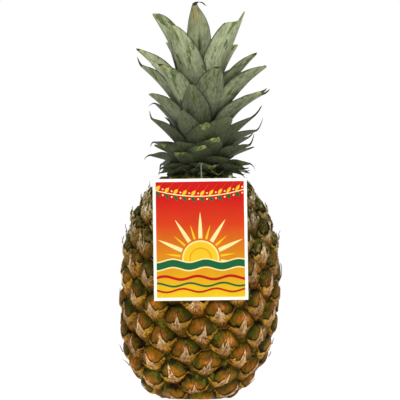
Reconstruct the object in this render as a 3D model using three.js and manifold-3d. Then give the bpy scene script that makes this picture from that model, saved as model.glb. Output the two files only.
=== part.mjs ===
// A whole pineapple standing on its base: the fruit with its eyes in spirals, the cut stalk
// under it, the leafy crown, and a card tag that hangs from the crown on an elastic tie, whose
// ends are stuck to the back of the card under a round paper seal.
// Millimetres, +Z up. The origin is the centre of the flat base and the front faces -Y.
import * as THREE from "three";
import { mergeVertices } from "three/addons/utils/BufferGeometryUtils.js";
import Module from "manifold-3d";

const wasm = await Module();
wasm.setup();

// ---- Driving dimensions ----

const GAP = 0.3; // clearance between neighbouring pieces

const FRUIT = {
  height: 178,
  bellyRadius: 60.6, // of the smooth skin, half way between the grooves and the tops of the eyes
  bellyHeight: 92,
  lower: { depth: 96.5, power: 2.8 }, // the egg shape's lower half, cut off flat by the base
  upper: { depth: 93, power: 2.35 }, // a power above 2 makes it fuller than an ellipse
  lean: 4.8, // how far the middle of the fruit stands to the right of its base
  leanHeight: 110,
};

const EYES = {
  area: 457, // skin that each eye takes
  first: 0.4, // how far up its share of the skin the lowest eye stands
  turn: THREE.MathUtils.degToRad(137.478), // from each eye to the next one up
  start: THREE.MathUtils.degToRad(17.25),
  relief: 3.8, // from the bottom of a groove to the top of an eye
  flank: 6.5, // distance over which an eye rises from its groove
  fade: 7, // distance over which the relief dies out at the base and at the neck
};

const BRACT = {
  width: 10.5,
  length: 11,
  thickness: 3.4,
  root: -4, // where the bract starts, below the middle of its eye
  stand: 4.9, // how far its point stands off the smooth skin
  clear: 14, // no bract grows nearer than this to the base or the neck
};

const STALK = { radius: 12, taper: 0.6, depth: 11, sides: 28 };

const STEM = { base: 17.5, waist: 14, waistHeight: 23, tip: 7, height: 62, sides: 12 };

const CROWN = {
  leaves: 63,
  turn: THREE.MathUtils.degToRad(137.508), // from each leaf to the next one up
  frontLeaf: 32, // this leaf points straight to the front
  root: 7, // radius at which the leaves start, inside the stem
  thickness: 1.3,
  trough: 0.24, // depth of a leaf's hollow, as a share of its width
  collar: 13, // small leaves below the lowest one, on the fruit's shoulder
  plain: 12, // the leaves below this one are mostly hidden and have fewer faces
  frontPull: 0.2, // how much nearer to the axis the leaves at the front stay
};

// How the leaves change from the lowest (0) to the innermost (1), with the collar's below 0. The
// tie runs in the step of the attach heights. The arches are degrees by which a leaf's root
// stands steeper than the line to its tip, and its tip lies flatter.
const LEAF_RULE = {
  attach: [
    [-0.2, 179.2], [0, 179.2], [0.01, 178.5], [0.21, 179.5], [0.22, 181.5], [0.5, 188], [0.74, 204],
    [0.94, 223], [1, 230],
  ],
  tipHeight: [
    [-0.2, 171], [-0.02, 173], [0, 177], [0.08, 180], [0.18, 186], [0.23, 190], [0.3, 200],
    [0.39, 207], [0.49, 217], [0.56, 230], [0.64, 248], [0.72, 262], [0.85, 288], [0.93, 302],
    [1, 310],
  ],
  reach: [
    [-0.2, 33], [-0.02, 37], [0, 40], [0.08, 42], [0.18, 45], [0.39, 47], [0.59, 50], [0.79, 50],
    [0.93, 42], [1, 24],
  ],
  width: [[-0.2, 17], [0, 24], [0.08, 25], [0.39, 25], [0.7, 26], [1, 22]],
  rootArch: [[0, 12], [0.2, 6], [0.5, 8], [0.7, 12], [1, 9]],
  tipArch: [[0, 30], [0.13, 16], [0.2, 6], [0.45, 8], [0.7, 15], [1, 12]],
};

// A leaf's half-width along its length, as a share of its widest: young ones are blunt, old ones taper.
const YOUNG_OUTLINE = [[0, 0.3], [0.24, 0.7], [0.45, 1], [0.62, 0.95], [0.8, 0.76], [0.9, 0.52], [1, 0]];
const OLD_OUTLINE = [
  [0, 0.38], [0.24, 0.8], [0.42, 1], [0.55, 0.9], [0.74, 0.55], [0.86, 0.28], [0.94, 0.08], [1, 0],
];

// Leaves that grow away from the rule: degrees turned, then millimetres raised, stretched and swayed.
const LEAF_QUIRKS = {
  "-12": [0, 0, -4, 0], "-7": [0, 0, -6, 0], "-4": [0, 0, -5, 0], 1: [0, 0, -3, 0],
  4: [0, 0, -7, 0], 9: [0, 0, -9, 0], 12: [0, 0, -3, 0], 52: [0, -20, -6, 0],
  14: [9, 6, -3, 6], 19: [6, 1, 0, 5], 29: [7, 18, 5, 5], 30: [1, 11, -2, 0],
  34: [0, -12, 3, 0], 35: [15, 9, -3, 9], 37: [2, -17, 0, 1], 38: [-7, -1, -5, -5],
  40: [5, 0, 0, 3], 42: [5, -9, 7, 5], 43: [3, -11, -6, 3], 47: [-1, -21, 2, 0],
  48: [1, -5, 0, 0], 50: [14, -17, 8, 10], 51: [0, -13, 5, 0], 53: [-11, 9, 1, -8],
  55: [-2, -21, 1, 0], 56: [-4, -16, 7, -5], 57: [0, -19, 0, 0], 58: [9, 6, 4, 10],
  59: [-6, -20, -7, -6], 60: [2, -23, -2, 3], 61: [-13, 1, 10, -17], 62: [3, 7, 1, 1],
};

const TAG = {
  width: 74.7,
  height: 96.6,
  thickness: 0.8,
  centreX: 5,
  tieX: 1.6, // where the tie leaves it, to the right of its middle
  bottomZ: 79.8,
  standOff: 69, // from the axis to the middle of its lower edge
  lean: THREE.MathUtils.degToRad(4.2), // the top leans back to the crown
  tilt: THREE.MathUtils.degToRad(0.8),
};

const TIE = {
  radius: 0.6,
  sides: 8,
  steps: 44,
  groove: 1.3, // half the diagonal of the square groove that it lies in where it crosses leaves
  ringRadius: 19, // of the loop round the crown's foot
  ringHeight: 183.2,
  crestHeight: 187.8, // where it passes over the lowest front leaf
  spread: 1.8, // between its two strands
  tail: 10, // how far its ends reach down behind the card
};

const SEAL = {
  radius: 6.5,
  drop: 9.5, // from the card's upper edge to the seal's middle
  cover: 0.6, // paper over the strands
  sides: 24,
};

// ---- Small helpers ----

/** Reads a table of [place, value] pairs at a place between them. */
function between(table, place) {
  const next = table.findIndex(([at]) => at >= place);
  if (next <= 0) return table[next === 0 ? 0 : table.length - 1][1];
  const [[from, low], [to, high]] = [table[next - 1], table[next]];
  return THREE.MathUtils.mapLinear(place, from, to, low, high);
}

/** A repeatable number from -1 to 1 for a piece's index and a trait's number. */
function wobble(index, trait) {
  const value = Math.sin(index * 12.9898 + trait * 78.233) * 43758.5453;
  return 2 * (value - Math.floor(value)) - 1;
}

/** A closed three.js geometry as a solid. */
function solid(geometry) {
  const bare = geometry.clone();
  bare.deleteAttribute("normal");
  bare.deleteAttribute("uv");
  const merged = mergeVertices(bare, 1e-4);
  const made = new wasm.Manifold(
    new wasm.Mesh({
      numProp: 3,
      vertProperties: new Float32Array(merged.attributes.position.array),
      triVerts: new Uint32Array(merged.index.array),
    }),
  );
  return made;
}

/** The largest body of a solid, without loose scraps and sealed hollows, as a geometry. */
function geometryOf(made) {
  const largest = made.decompose().reduce((a, b) => (b.volume() > a.volume() ? b : a));
  const { vertProperties, triVerts } = largest.getMesh();
  return new THREE.BufferGeometry()
    .setAttribute("position", new THREE.BufferAttribute(vertProperties, 3))
    .setIndex(new THREE.BufferAttribute(triVerts, 1));
}

/** A geometry from points and the triangles that join them. */
function geometryFrom(points, triangles) {
  const flat = new Float32Array(points.flatMap((p) => [p.x, p.y, p.z]));
  return new THREE.BufferGeometry()
    .setAttribute("position", new THREE.BufferAttribute(flat, 3))
    .setIndex(triangles);
}

/** Triangles that join rings of equal size into a tube, with a fan closing each end. */
function tubeTriangles(rings, size, firstPole, lastPole) {
  const triangles = [];
  for (let j = 0; j < rings - 1; j++)
    for (let i = 0; i < size; i++) {
      const [a, b] = [j * size + i, j * size + ((i + 1) % size)];
      triangles.push(a, b, b + size, a, b + size, a + size);
    }
  const last = (rings - 1) * size;
  for (let i = 0; i < size; i++) {
    const next = (i + 1) % size;
    triangles.push(firstPole, next, i, lastPole, last + i, last + next);
  }
  return triangles;
}

// ---- Fruit ----

/** How far the fruit's middle stands to the right of its base at a height. */
function leanAt(z) {
  return FRUIT.lean * THREE.MathUtils.smoothstep(z, 0, FRUIT.leanHeight);
}

/** Radius of the smooth skin at a height. */
function skinRadius(z) {
  const away = z - FRUIT.bellyHeight;
  const { depth, power } = away < 0 ? FRUIT.lower : FRUIT.upper;
  return FRUIT.bellyRadius * Math.sqrt(Math.max(0, 1 - (Math.abs(away) / depth) ** power));
}

/** The skin from base to neck as rows of height, radius, length run and area below. */
function tabulateSkin() {
  const steps = 600;
  const rows = [{ z: 0, r: skinRadius(0), run: 0, area: 0 }];
  for (let k = 1; k <= steps; k++) {
    const last = rows[k - 1];
    const z = (FRUIT.height * k) / steps;
    const r = skinRadius(z);
    const step = Math.hypot(z - last.z, r - last.r);
    rows.push({ z, r, run: last.run + step, area: last.area + Math.PI * (r + last.r) * step });
  }
  return rows;
}

const skin = tabulateSkin();
const skinEnd = skin[skin.length - 1];

/** The skin where one of its tabulated measures has a value, with its outward normal. */
function skinAt(measure, value) {
  const above = skin.findIndex((row) => row[measure] >= value);
  const k = above < 0 ? skin.length - 1 : Math.max(1, above);
  const [low, high] = [skin[k - 1], skin[k]];
  const share = THREE.MathUtils.clamp((value - low[measure]) / (high[measure] - low[measure]), 0, 1);
  const row = {};
  for (const key of ["z", "r", "run", "area"]) row[key] = THREE.MathUtils.lerp(low[key], high[key], share);
  const length = Math.hypot(high.z - low.z, high.r - low.r);
  row.outward = (high.z - low.z) / length;
  row.upward = (low.r - high.r) / length;
  return row;
}

/** A point over the skin, at an angle from the front and a lift along the normal. */
function overSkin(row, angle, lift) {
  const r = row.r + lift * row.outward;
  const z = row.z + lift * row.upward;
  return new THREE.Vector3(leanAt(row.z) + r * Math.sin(angle), -r * Math.cos(angle), z);
}

/** Every eye's place on the skin, from the lowest up. */
function placeEyes() {
  const eyes = [];
  for (let n = 0; EYES.area * (n + EYES.first) < skinEnd.area; n++)
    eyes.push({ ...skinAt("area", EYES.area * (n + EYES.first)), angle: EYES.start - EYES.turn * n });
  return eyes;
}

const eyes = placeEyes();

/** How far the skin is raised at a place: high on an eye, low in the grooves between them. */
function reliefAt(row, angle) {
  let nearest = Infinity;
  let second = Infinity;
  for (const eye of eyes) {
    const up = row.run - eye.run;
    if (Math.abs(up) > 30) continue;
    const turn = Math.atan2(Math.sin(angle - eye.angle), Math.cos(angle - eye.angle));
    const distance = Math.hypot(up, (turn * (row.r + eye.r)) / 2);
    second = Math.min(second, Math.max(nearest, distance));
    nearest = Math.min(nearest, distance);
  }
  const rise = 1 - (1 - Math.min((second - nearest) / 2 / EYES.flank, 1)) ** 2;
  const ends = Math.min(row.run, skinEnd.run - row.run) / EYES.fade;
  return EYES.relief * (rise - 0.5) * THREE.MathUtils.smoothstep(ends, 0, 1);
}

/** The fruit's skin as one closed body: a net of rows and columns that follow the eyes' spirals. */
function skinGeometry() {
  const spirals = 21;
  const columns = spirals * 3;
  const rows = 30;
  const drift = (spirals * EYES.turn - 8 * 2 * Math.PI) / (spirals * EYES.area);
  const points = [];
  for (let j = 0; j <= rows; j++) {
    const row = skinAt("run", (skinEnd.run * j) / rows);
    for (let i = 0; i < columns; i++) {
      const angle = EYES.start + (i * 2 * Math.PI) / columns - drift * row.area;
      points.push(overSkin(row, angle, reliefAt(row, angle)));
    }
  }
  const poles = points.length;
  const [base, neck] = [leanAt(0), leanAt(FRUIT.height)];
  points.push(new THREE.Vector3(base, 0, 0), new THREE.Vector3(neck, 0, FRUIT.height));
  return geometryFrom(points, tubeTriangles(rows + 1, columns, poles, poles + 1));
}

/** One bract: a flat three-sided point that lies up its eye and stands off it. */
function bractGeometry(eye, index) {
  const side = new THREE.Vector3(Math.cos(eye.angle), Math.sin(eye.angle), 0);
  const out = overSkin(eye, eye.angle, 1).sub(overSkin(eye, eye.angle, 0));
  const up = new THREE.Vector3().crossVectors(side, out).negate();
  const lay = new THREE.Vector3().addScaledVector(up, BRACT.length).addScaledVector(out, BRACT.stand);
  lay.addScaledVector(side, 2.2 * wobble(index, 1));
  const root = overSkin(eye, eye.angle, 0).addScaledVector(up, BRACT.root);
  const axis = lay.clone().normalize();
  const flat = new THREE.Vector3().crossVectors(side, axis).negate();
  const across = new THREE.Vector3().crossVectors(axis, flat);
  const cone = new THREE.ConeGeometry(1, 1, 3, 1).translate(0, 0.5, 0);
  cone.scale(BRACT.width / 2, lay.length(), BRACT.thickness / 2);
  return cone.applyMatrix4(new THREE.Matrix4().makeBasis(across, axis, flat).setPosition(root));
}

/** The fruit: skin, bracts and the socket that the stalk fills. */
function fruitSolid() {
  const grown = eyes.filter((eye) => eye.run > BRACT.clear && skinEnd.run - eye.run > BRACT.clear);
  const bracts = grown.map((eye, index) => solid(bractGeometry(eye, index)));
  const body = wasm.Manifold.union([solid(skinGeometry()), ...bracts]);
  return body.subtract(solid(stalkGeometry(GAP)));
}

/** The cut stalk, or with some growth the socket that it stands in. */
function stalkGeometry(growth) {
  const foot = growth ? -growth : 0;
  const profile = [
    new THREE.Vector2(0, foot),
    new THREE.Vector2(STALK.radius + growth, foot),
    new THREE.Vector2(STALK.radius - STALK.taper + growth, STALK.depth + growth),
    new THREE.Vector2(0, STALK.depth + growth),
  ];
  return new THREE.LatheGeometry(profile, STALK.sides).rotateX(Math.PI / 2);
}

// ---- Crown ----

/** The bare stem that carries the leaves. */
function stemGeometry() {
  const foot = FRUIT.height + GAP;
  const profile = [
    new THREE.Vector2(0, foot),
    new THREE.Vector2(STEM.base, foot),
    new THREE.Vector2(STEM.waist, foot + STEM.waistHeight),
    new THREE.Vector2(STEM.tip, foot + STEM.height),
    new THREE.Vector2(0, foot + STEM.height),
  ];
  return new THREE.LatheGeometry(profile, STEM.sides).rotateX(Math.PI / 2);
}

/** A leaf's facing, root, tip and width, by the rule and its own quirks. */
function leafPlan(index) {
  const share = index / (CROWN.leaves - 1);
  const [turned, raised, stretched, swayed] = LEAF_QUIRKS[index] ?? [0, 0, 0, 0];
  const degrees = 5 * wobble(index, 3) + turned;
  const even = CROWN.turn * (CROWN.frontLeaf - index);
  const facing = Math.cos(even + THREE.MathUtils.degToRad(turned));
  const young = THREE.MathUtils.smoothstep(share, 0.45, 0.75);
  const pull = 1 - CROWN.frontPull * THREE.MathUtils.smoothstep(facing, 0.5, 0.95) * (1 - young);
  const sink = 3.5 * wobble(index, 1) * THREE.MathUtils.clamp(2 * share, 0, 1);
  return {
    young,
    angle: even + THREE.MathUtils.degToRad(degrees),
    attach: between(LEAF_RULE.attach, share),
    tipHeight: between(LEAF_RULE.tipHeight, share) + sink + raised,
    reach: (between(LEAF_RULE.reach, share) + 3 * wobble(index, 2) + stretched) * pull,
    width: between(LEAF_RULE.width, share),
    sway: 4 * wobble(index, 4) + swayed,
    rootArch: THREE.MathUtils.degToRad(between(LEAF_RULE.rootArch, share)),
    tipArch: THREE.MathUtils.degToRad(between(LEAF_RULE.tipArch, share)),
  };
}

/** The leaf's middle line in its own upright plane: x is the radius and y the height. */
function leafSpine(plan) {
  const root = new THREE.Vector2(CROWN.root, plan.attach);
  const tip = new THREE.Vector2(plan.reach, plan.tipHeight);
  const chord = tip.clone().sub(root);
  const heading = Math.atan2(chord.x, chord.y);
  const towards = (angle, length) =>
    new THREE.Vector2(Math.sin(angle), Math.cos(angle)).multiplyScalar(length);
  const out = root.clone().add(towards(heading - plan.rootArch, chord.length() * 0.38));
  const back = tip.clone().sub(towards(heading + plan.tipArch, chord.length() * 0.35));
  return new THREE.CubicBezierCurve(root, out, back, tip);
}

/** One leaf: a pointed blade, hollow on its upper side. */
function leafGeometry(index) {
  const plan = leafPlan(index);
  const spine = leafSpine(plan);
  const outward = new THREE.Vector3(Math.sin(plan.angle), -Math.cos(plan.angle), 0);
  const sideways = new THREE.Vector3(Math.cos(plan.angle), Math.sin(plan.angle), 0);
  const upright = new THREE.Vector3(0, 0, 1);
  const axis = new THREE.Vector3(FRUIT.lean, 0, 0);
  const place = (radius, height, aside) => {
    const point = axis.clone().addScaledVector(outward, radius);
    return point.addScaledVector(upright, height).addScaledVector(sideways, aside);
  };
  const stations = index < CROWN.plain ? [0, 0.4, 0.76] : [0, 0.27, 0.56, 0.84];
  const points = [];
  for (const t of stations) {
    const middle = spine.getPoint(t);
    const along = spine.getTangent(t);
    const outline = THREE.MathUtils.lerp(between(OLD_OUTLINE, t), between(YOUNG_OUTLINE, t), plan.young);
    const half = (plan.width / 2) * outline;
    const hollow = 2 * half * CROWN.trough;
    const aside = plan.sway * t * t;
    const edge = { x: middle.x - along.y * hollow, y: middle.y + along.x * hollow };
    const lift = CROWN.thickness / 2;
    points.push(
      place(edge.x, edge.y, aside - half),
      place(middle.x + along.y * lift, middle.y - along.x * lift, aside),
      place(edge.x, edge.y, aside + half),
      place(middle.x - along.y * lift, middle.y + along.x * lift, aside),
    );
  }
  const [first, last] = [spine.getPoint(0), spine.getPoint(1)];
  const poles = points.length;
  points.push(place(first.x, first.y, 0), place(last.x, last.y, plan.sway));
  return geometryFrom(points, tubeTriangles(stations.length, 4, poles, poles + 1));
}

/** The space that the crown keeps clear of: the fruit's shoulder with its eyes at their highest. */
function shoulderEnvelope() {
  const grow = EYES.relief / 2 + 3 * GAP;
  const rows = 7;
  const lowest = skinEnd.run - 60;
  const profile = [new THREE.Vector2(0, skinAt("run", lowest).z)];
  for (let k = 0; k < rows; k++) {
    const row = skinAt("run", THREE.MathUtils.lerp(lowest, skinEnd.run, k / rows));
    profile.push(new THREE.Vector2(row.r + grow * row.outward, row.z + grow * row.upward));
  }
  profile.push(new THREE.Vector2(skinEnd.r, FRUIT.height + GAP));
  profile.push(new THREE.Vector2(0, FRUIT.height + GAP));
  return new THREE.LatheGeometry(profile, 22).rotateX(Math.PI / 2).translate(FRUIT.lean, 0, 0);
}

/** The crown: stem and leaves in one body, clear of the fruit and of the tie. */
function crownSolid() {
  const count = CROWN.collar + CROWN.leaves;
  const leaves = Array.from({ length: count }, (_, k) => solid(leafGeometry(k - CROWN.collar)));
  const stem = solid(stemGeometry().translate(FRUIT.lean, 0, 0));
  const grown = wasm.Manifold.union([stem, ...leaves]);
  return grown.subtract(solid(shoulderEnvelope())).subtract(solid(cordGeometry(TIE.groove, 4)));
}

// ---- Tag and tie ----

/** Moves a geometry from the tag's own plane, its lower edge on the ground line, to where it hangs. */
function hang(geometry) {
  return geometry
    .rotateX(Math.PI / 2)
    .rotateY(-TAG.tilt)
    .rotateX(-TAG.lean)
    .translate(TAG.centreX, -TAG.standOff, TAG.bottomZ);
}

/** The card, its printed front in the tag's own plane. */
function tagGeometry() {
  const card = new THREE.BoxGeometry(TAG.width, TAG.height, TAG.thickness);
  return hang(card.translate(0, TAG.height / 2, -TAG.thickness / 2));
}

/** A point of the tag's plane, where it hangs. */
function onTag(x, up, forward) {
  const point = new THREE.BufferGeometry().setFromPoints([new THREE.Vector3(x, up, forward)]);
  return new THREE.Vector3().fromBufferAttribute(hang(point).attributes.position, 0);
}

/** The elastic tie: up from behind the card, over the lowest leaf, round the crown and back down. */
function tieRoute() {
  const behind = -(TAG.thickness + GAP + TIE.radius);
  const ring = (degrees) => {
    const angle = THREE.MathUtils.degToRad(degrees);
    const { ringRadius: r, ringHeight: z } = TIE;
    return new THREE.Vector3(FRUIT.lean + r * Math.sin(angle), -r * Math.cos(angle), z);
  };
  const [right, left] = [TAG.tieX + TIE.spread / 2, TAG.tieX - TIE.spread / 2];
  return [
    onTag(right, TAG.height - TIE.tail, behind),
    onTag(right, TAG.height - TIE.tail / 2, behind),
    onTag(right, TAG.height, behind - TIE.radius),
    new THREE.Vector3(FRUIT.lean + TIE.spread / 2, -50, TIE.crestHeight),
    ...[20, 60, 100, 140, 180, 220, 260, 300, 340].map(ring),
    new THREE.Vector3(FRUIT.lean - TIE.spread / 2, -50, TIE.crestHeight),
    onTag(left, TAG.height, behind - TIE.radius),
    onTag(left, TAG.height - TIE.tail / 2, behind),
    onTag(left, TAG.height - TIE.tail, behind),
  ];
}

/** A cord of a given radius and number of sides along the tie's route. */
function cordGeometry(radius, sides) {
  const section = new THREE.Shape();
  for (let k = 0; k <= sides; k++) {
    const angle = (k * 2 * Math.PI) / sides;
    section[k ? "lineTo" : "moveTo"](radius * Math.cos(angle), radius * Math.sin(angle));
  }
  return new THREE.ExtrudeGeometry(section, {
    steps: TIE.steps,
    bevelEnabled: false,
    extrudePath: new THREE.CatmullRomCurve3(tieRoute(), false, "centripetal"),
  });
}

/** The seal: a round of paper on the card's back, hollowed where the two strands run under it. */
function sealGeometry() {
  const front = -(TAG.thickness + GAP);
  const channel = {
    width: TIE.spread + 2 * (TIE.radius + GAP),
    length: 2 * TIE.tail,
    depth: 2 * (TIE.radius + GAP),
  };
  const depth = channel.depth + SEAL.cover;
  const round = new THREE.CylinderGeometry(SEAL.radius, SEAL.radius, depth, SEAL.sides);
  round.rotateX(Math.PI / 2).translate(TAG.tieX, TAG.height - SEAL.drop, front - depth / 2);
  const strands = new THREE.BoxGeometry(channel.width, channel.length, 2 * channel.depth);
  strands.translate(TAG.tieX, TAG.height - TIE.tail - GAP + channel.length / 2, front);
  return hang(geometryOf(solid(round).subtract(solid(strands))));
}

// ---- Assembly ----

/** A named mesh of a colour, roughness and metalness. */
function piece(name, geometry, color, roughness) {
  const material = new THREE.MeshStandardMaterial({ color, roughness, metalness: 0 });
  const mesh = new THREE.Mesh(geometry, material);
  mesh.name = name;
  return mesh;
}

const pineapple = new THREE.Group();
pineapple.add(
  piece("fruit", geometryOf(fruitSolid()), 0x70551f, 0.62),
  piece("stalk", stalkGeometry(0), 0xb39b6c, 0.85),
  piece("crown", geometryOf(crownSolid()), 0x6b7358, 0.55),
  piece("hang_tag", tagGeometry(), 0xe8862a, 0.35),
  piece("tag_tie", cordGeometry(TIE.radius, TIE.sides), 0xd9dbc8, 0.6),
  piece("tie_seal", sealGeometry(), 0xf2efe4, 0.7),
);

export default pineapple;
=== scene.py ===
"""Dress of a whole pineapple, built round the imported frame.

Rind with its spiralled eyes, papery bracts, leafy crown, cut stalk, and the card tag on its tie.
The classes work in millimetres, in the frame's own axes: +Z up and the front at -Y. A finished
piece is turned into metres where Workshop.place() hands it over.
"""

import logging
import math
from dataclasses import dataclass
from enum import Enum
from functools import cached_property
from typing import Callable, NamedTuple, Sequence

import bmesh
import bpy
import numpy as np
from bpy.types import Material, Mesh, Object
from mathutils import Matrix, Vector


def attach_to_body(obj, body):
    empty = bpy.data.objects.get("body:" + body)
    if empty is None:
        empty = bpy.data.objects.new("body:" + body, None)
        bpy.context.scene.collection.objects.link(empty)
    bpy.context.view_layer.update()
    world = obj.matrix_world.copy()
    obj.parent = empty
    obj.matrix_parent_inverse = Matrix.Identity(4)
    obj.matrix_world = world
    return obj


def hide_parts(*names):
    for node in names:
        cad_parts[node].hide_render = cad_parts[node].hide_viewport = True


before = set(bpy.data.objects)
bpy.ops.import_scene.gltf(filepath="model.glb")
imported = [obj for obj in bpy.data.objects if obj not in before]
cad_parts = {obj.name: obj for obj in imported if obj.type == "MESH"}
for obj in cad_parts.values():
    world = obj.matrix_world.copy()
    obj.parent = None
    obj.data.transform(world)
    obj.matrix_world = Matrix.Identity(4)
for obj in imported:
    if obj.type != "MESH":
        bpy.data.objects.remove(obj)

Array = np.ndarray
Socket = bpy.types.NodeSocket
Feed = Socket | float
Pairs = Sequence[tuple[float, float]]
Four = tuple[float, float, float, float]

MM = 0.001
SEAM = 2e-4  # vertices nearer than this, in millimetres, are one
SEED_SPREAD = 900.0  # how far apart eyes with different seeds read their noises
log = logging.getLogger("pineapple")


class Slot(Enum):
    """The record's material slots."""

    RIND = "rind"
    STALK = "cut_stalk"
    LEAF = "leaf"
    CARD = "card"
    ELASTIC = "elastic"


# ---- Numbers and tables ----


def wobble(index: Array, trait: float) -> Array:
    """Draws a repeatable number for each index.

    Args:
        index: whole numbers, one for each thing that varies.
        trait: a number that tells one kind of variation from another.

    Returns:
        Numbers from -1 to 1.
    """
    value = np.sin(np.asarray(index, float) * 12.9898 + trait * 78.233) * 43758.5453
    return 2.0 * (value - np.floor(value)) - 1.0


def seed_of(index: Array, trait: float) -> Array:
    """Draws a repeatable number from 0 to 1 for each index."""
    return 0.5 + 0.5 * wobble(index, trait)


def abreast(*parts: Array | float) -> Array:
    """Sets arrays side by side, one row for each point."""
    return np.stack(np.broadcast_arrays(*parts), axis=-1)


def mix(first: Array, last: Array, start: float, end: float, at: Array) -> Array:
    """Goes straight from the first point, at the start, to the last one, at the end."""
    return (end - at) / (end - start) * first + (at - start) / (end - start) * last


def smoothstep(value: Array, low: float, high: float) -> Array:
    """Rises smoothly from 0 at low to 1 at high.

    Args:
        value: places to read.
        low: where the rise starts.
        high: where it ends.

    Returns:
        Shares from 0 to 1.
    """
    share = np.clip((np.asarray(value, float) - low) / (high - low), 0.0, 1.0)
    return share * share * (3.0 - 2.0 * share)


def table(pairs: Pairs, places: Array) -> Array:
    """Reads a table of (place, value) pairs by straight lines between them."""
    at, value = np.array(pairs, float).T
    return np.interp(places, at, value)


def rounded(pairs: Pairs, places: Array) -> Array:
    """Reads a table of (place, value) pairs by a smooth curve through them.

    Args:
        pairs: the curve's points, in rising order of place.
        places: where to read it.

    Returns:
        The curve's value at each place.
    """
    at, value = np.array(pairs, float).T
    slope = np.gradient(value, at)
    k = np.clip(np.searchsorted(at, places) - 1, 0, len(at) - 2)
    span = at[k + 1] - at[k]
    s = np.clip((places - at[k]) / span, 0.0, 1.0)
    return (
        (2 * s**3 - 3 * s**2 + 1) * value[k]
        + (s**3 - 2 * s**2 + s) * span * slope[k]
        + (3 * s**2 - 2 * s**3) * value[k + 1]
        + (s**3 - s**2) * span * slope[k + 1]
    )


class Paint(NamedTuple):
    """A colour as a screen shows it, each channel from 0 to 255."""

    red: float
    green: float
    blue: float

    def linear(self) -> Four:
        """The same colour as the shaders take it, with full alpha."""
        shares = [channel / 255.0 for channel in self]
        return tuple(c / 12.92 if c <= 0.04045 else ((c + 0.055) / 1.055) ** 2.4 for c in shares) + (1.0,)


# ---- Mesh work ----


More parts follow.
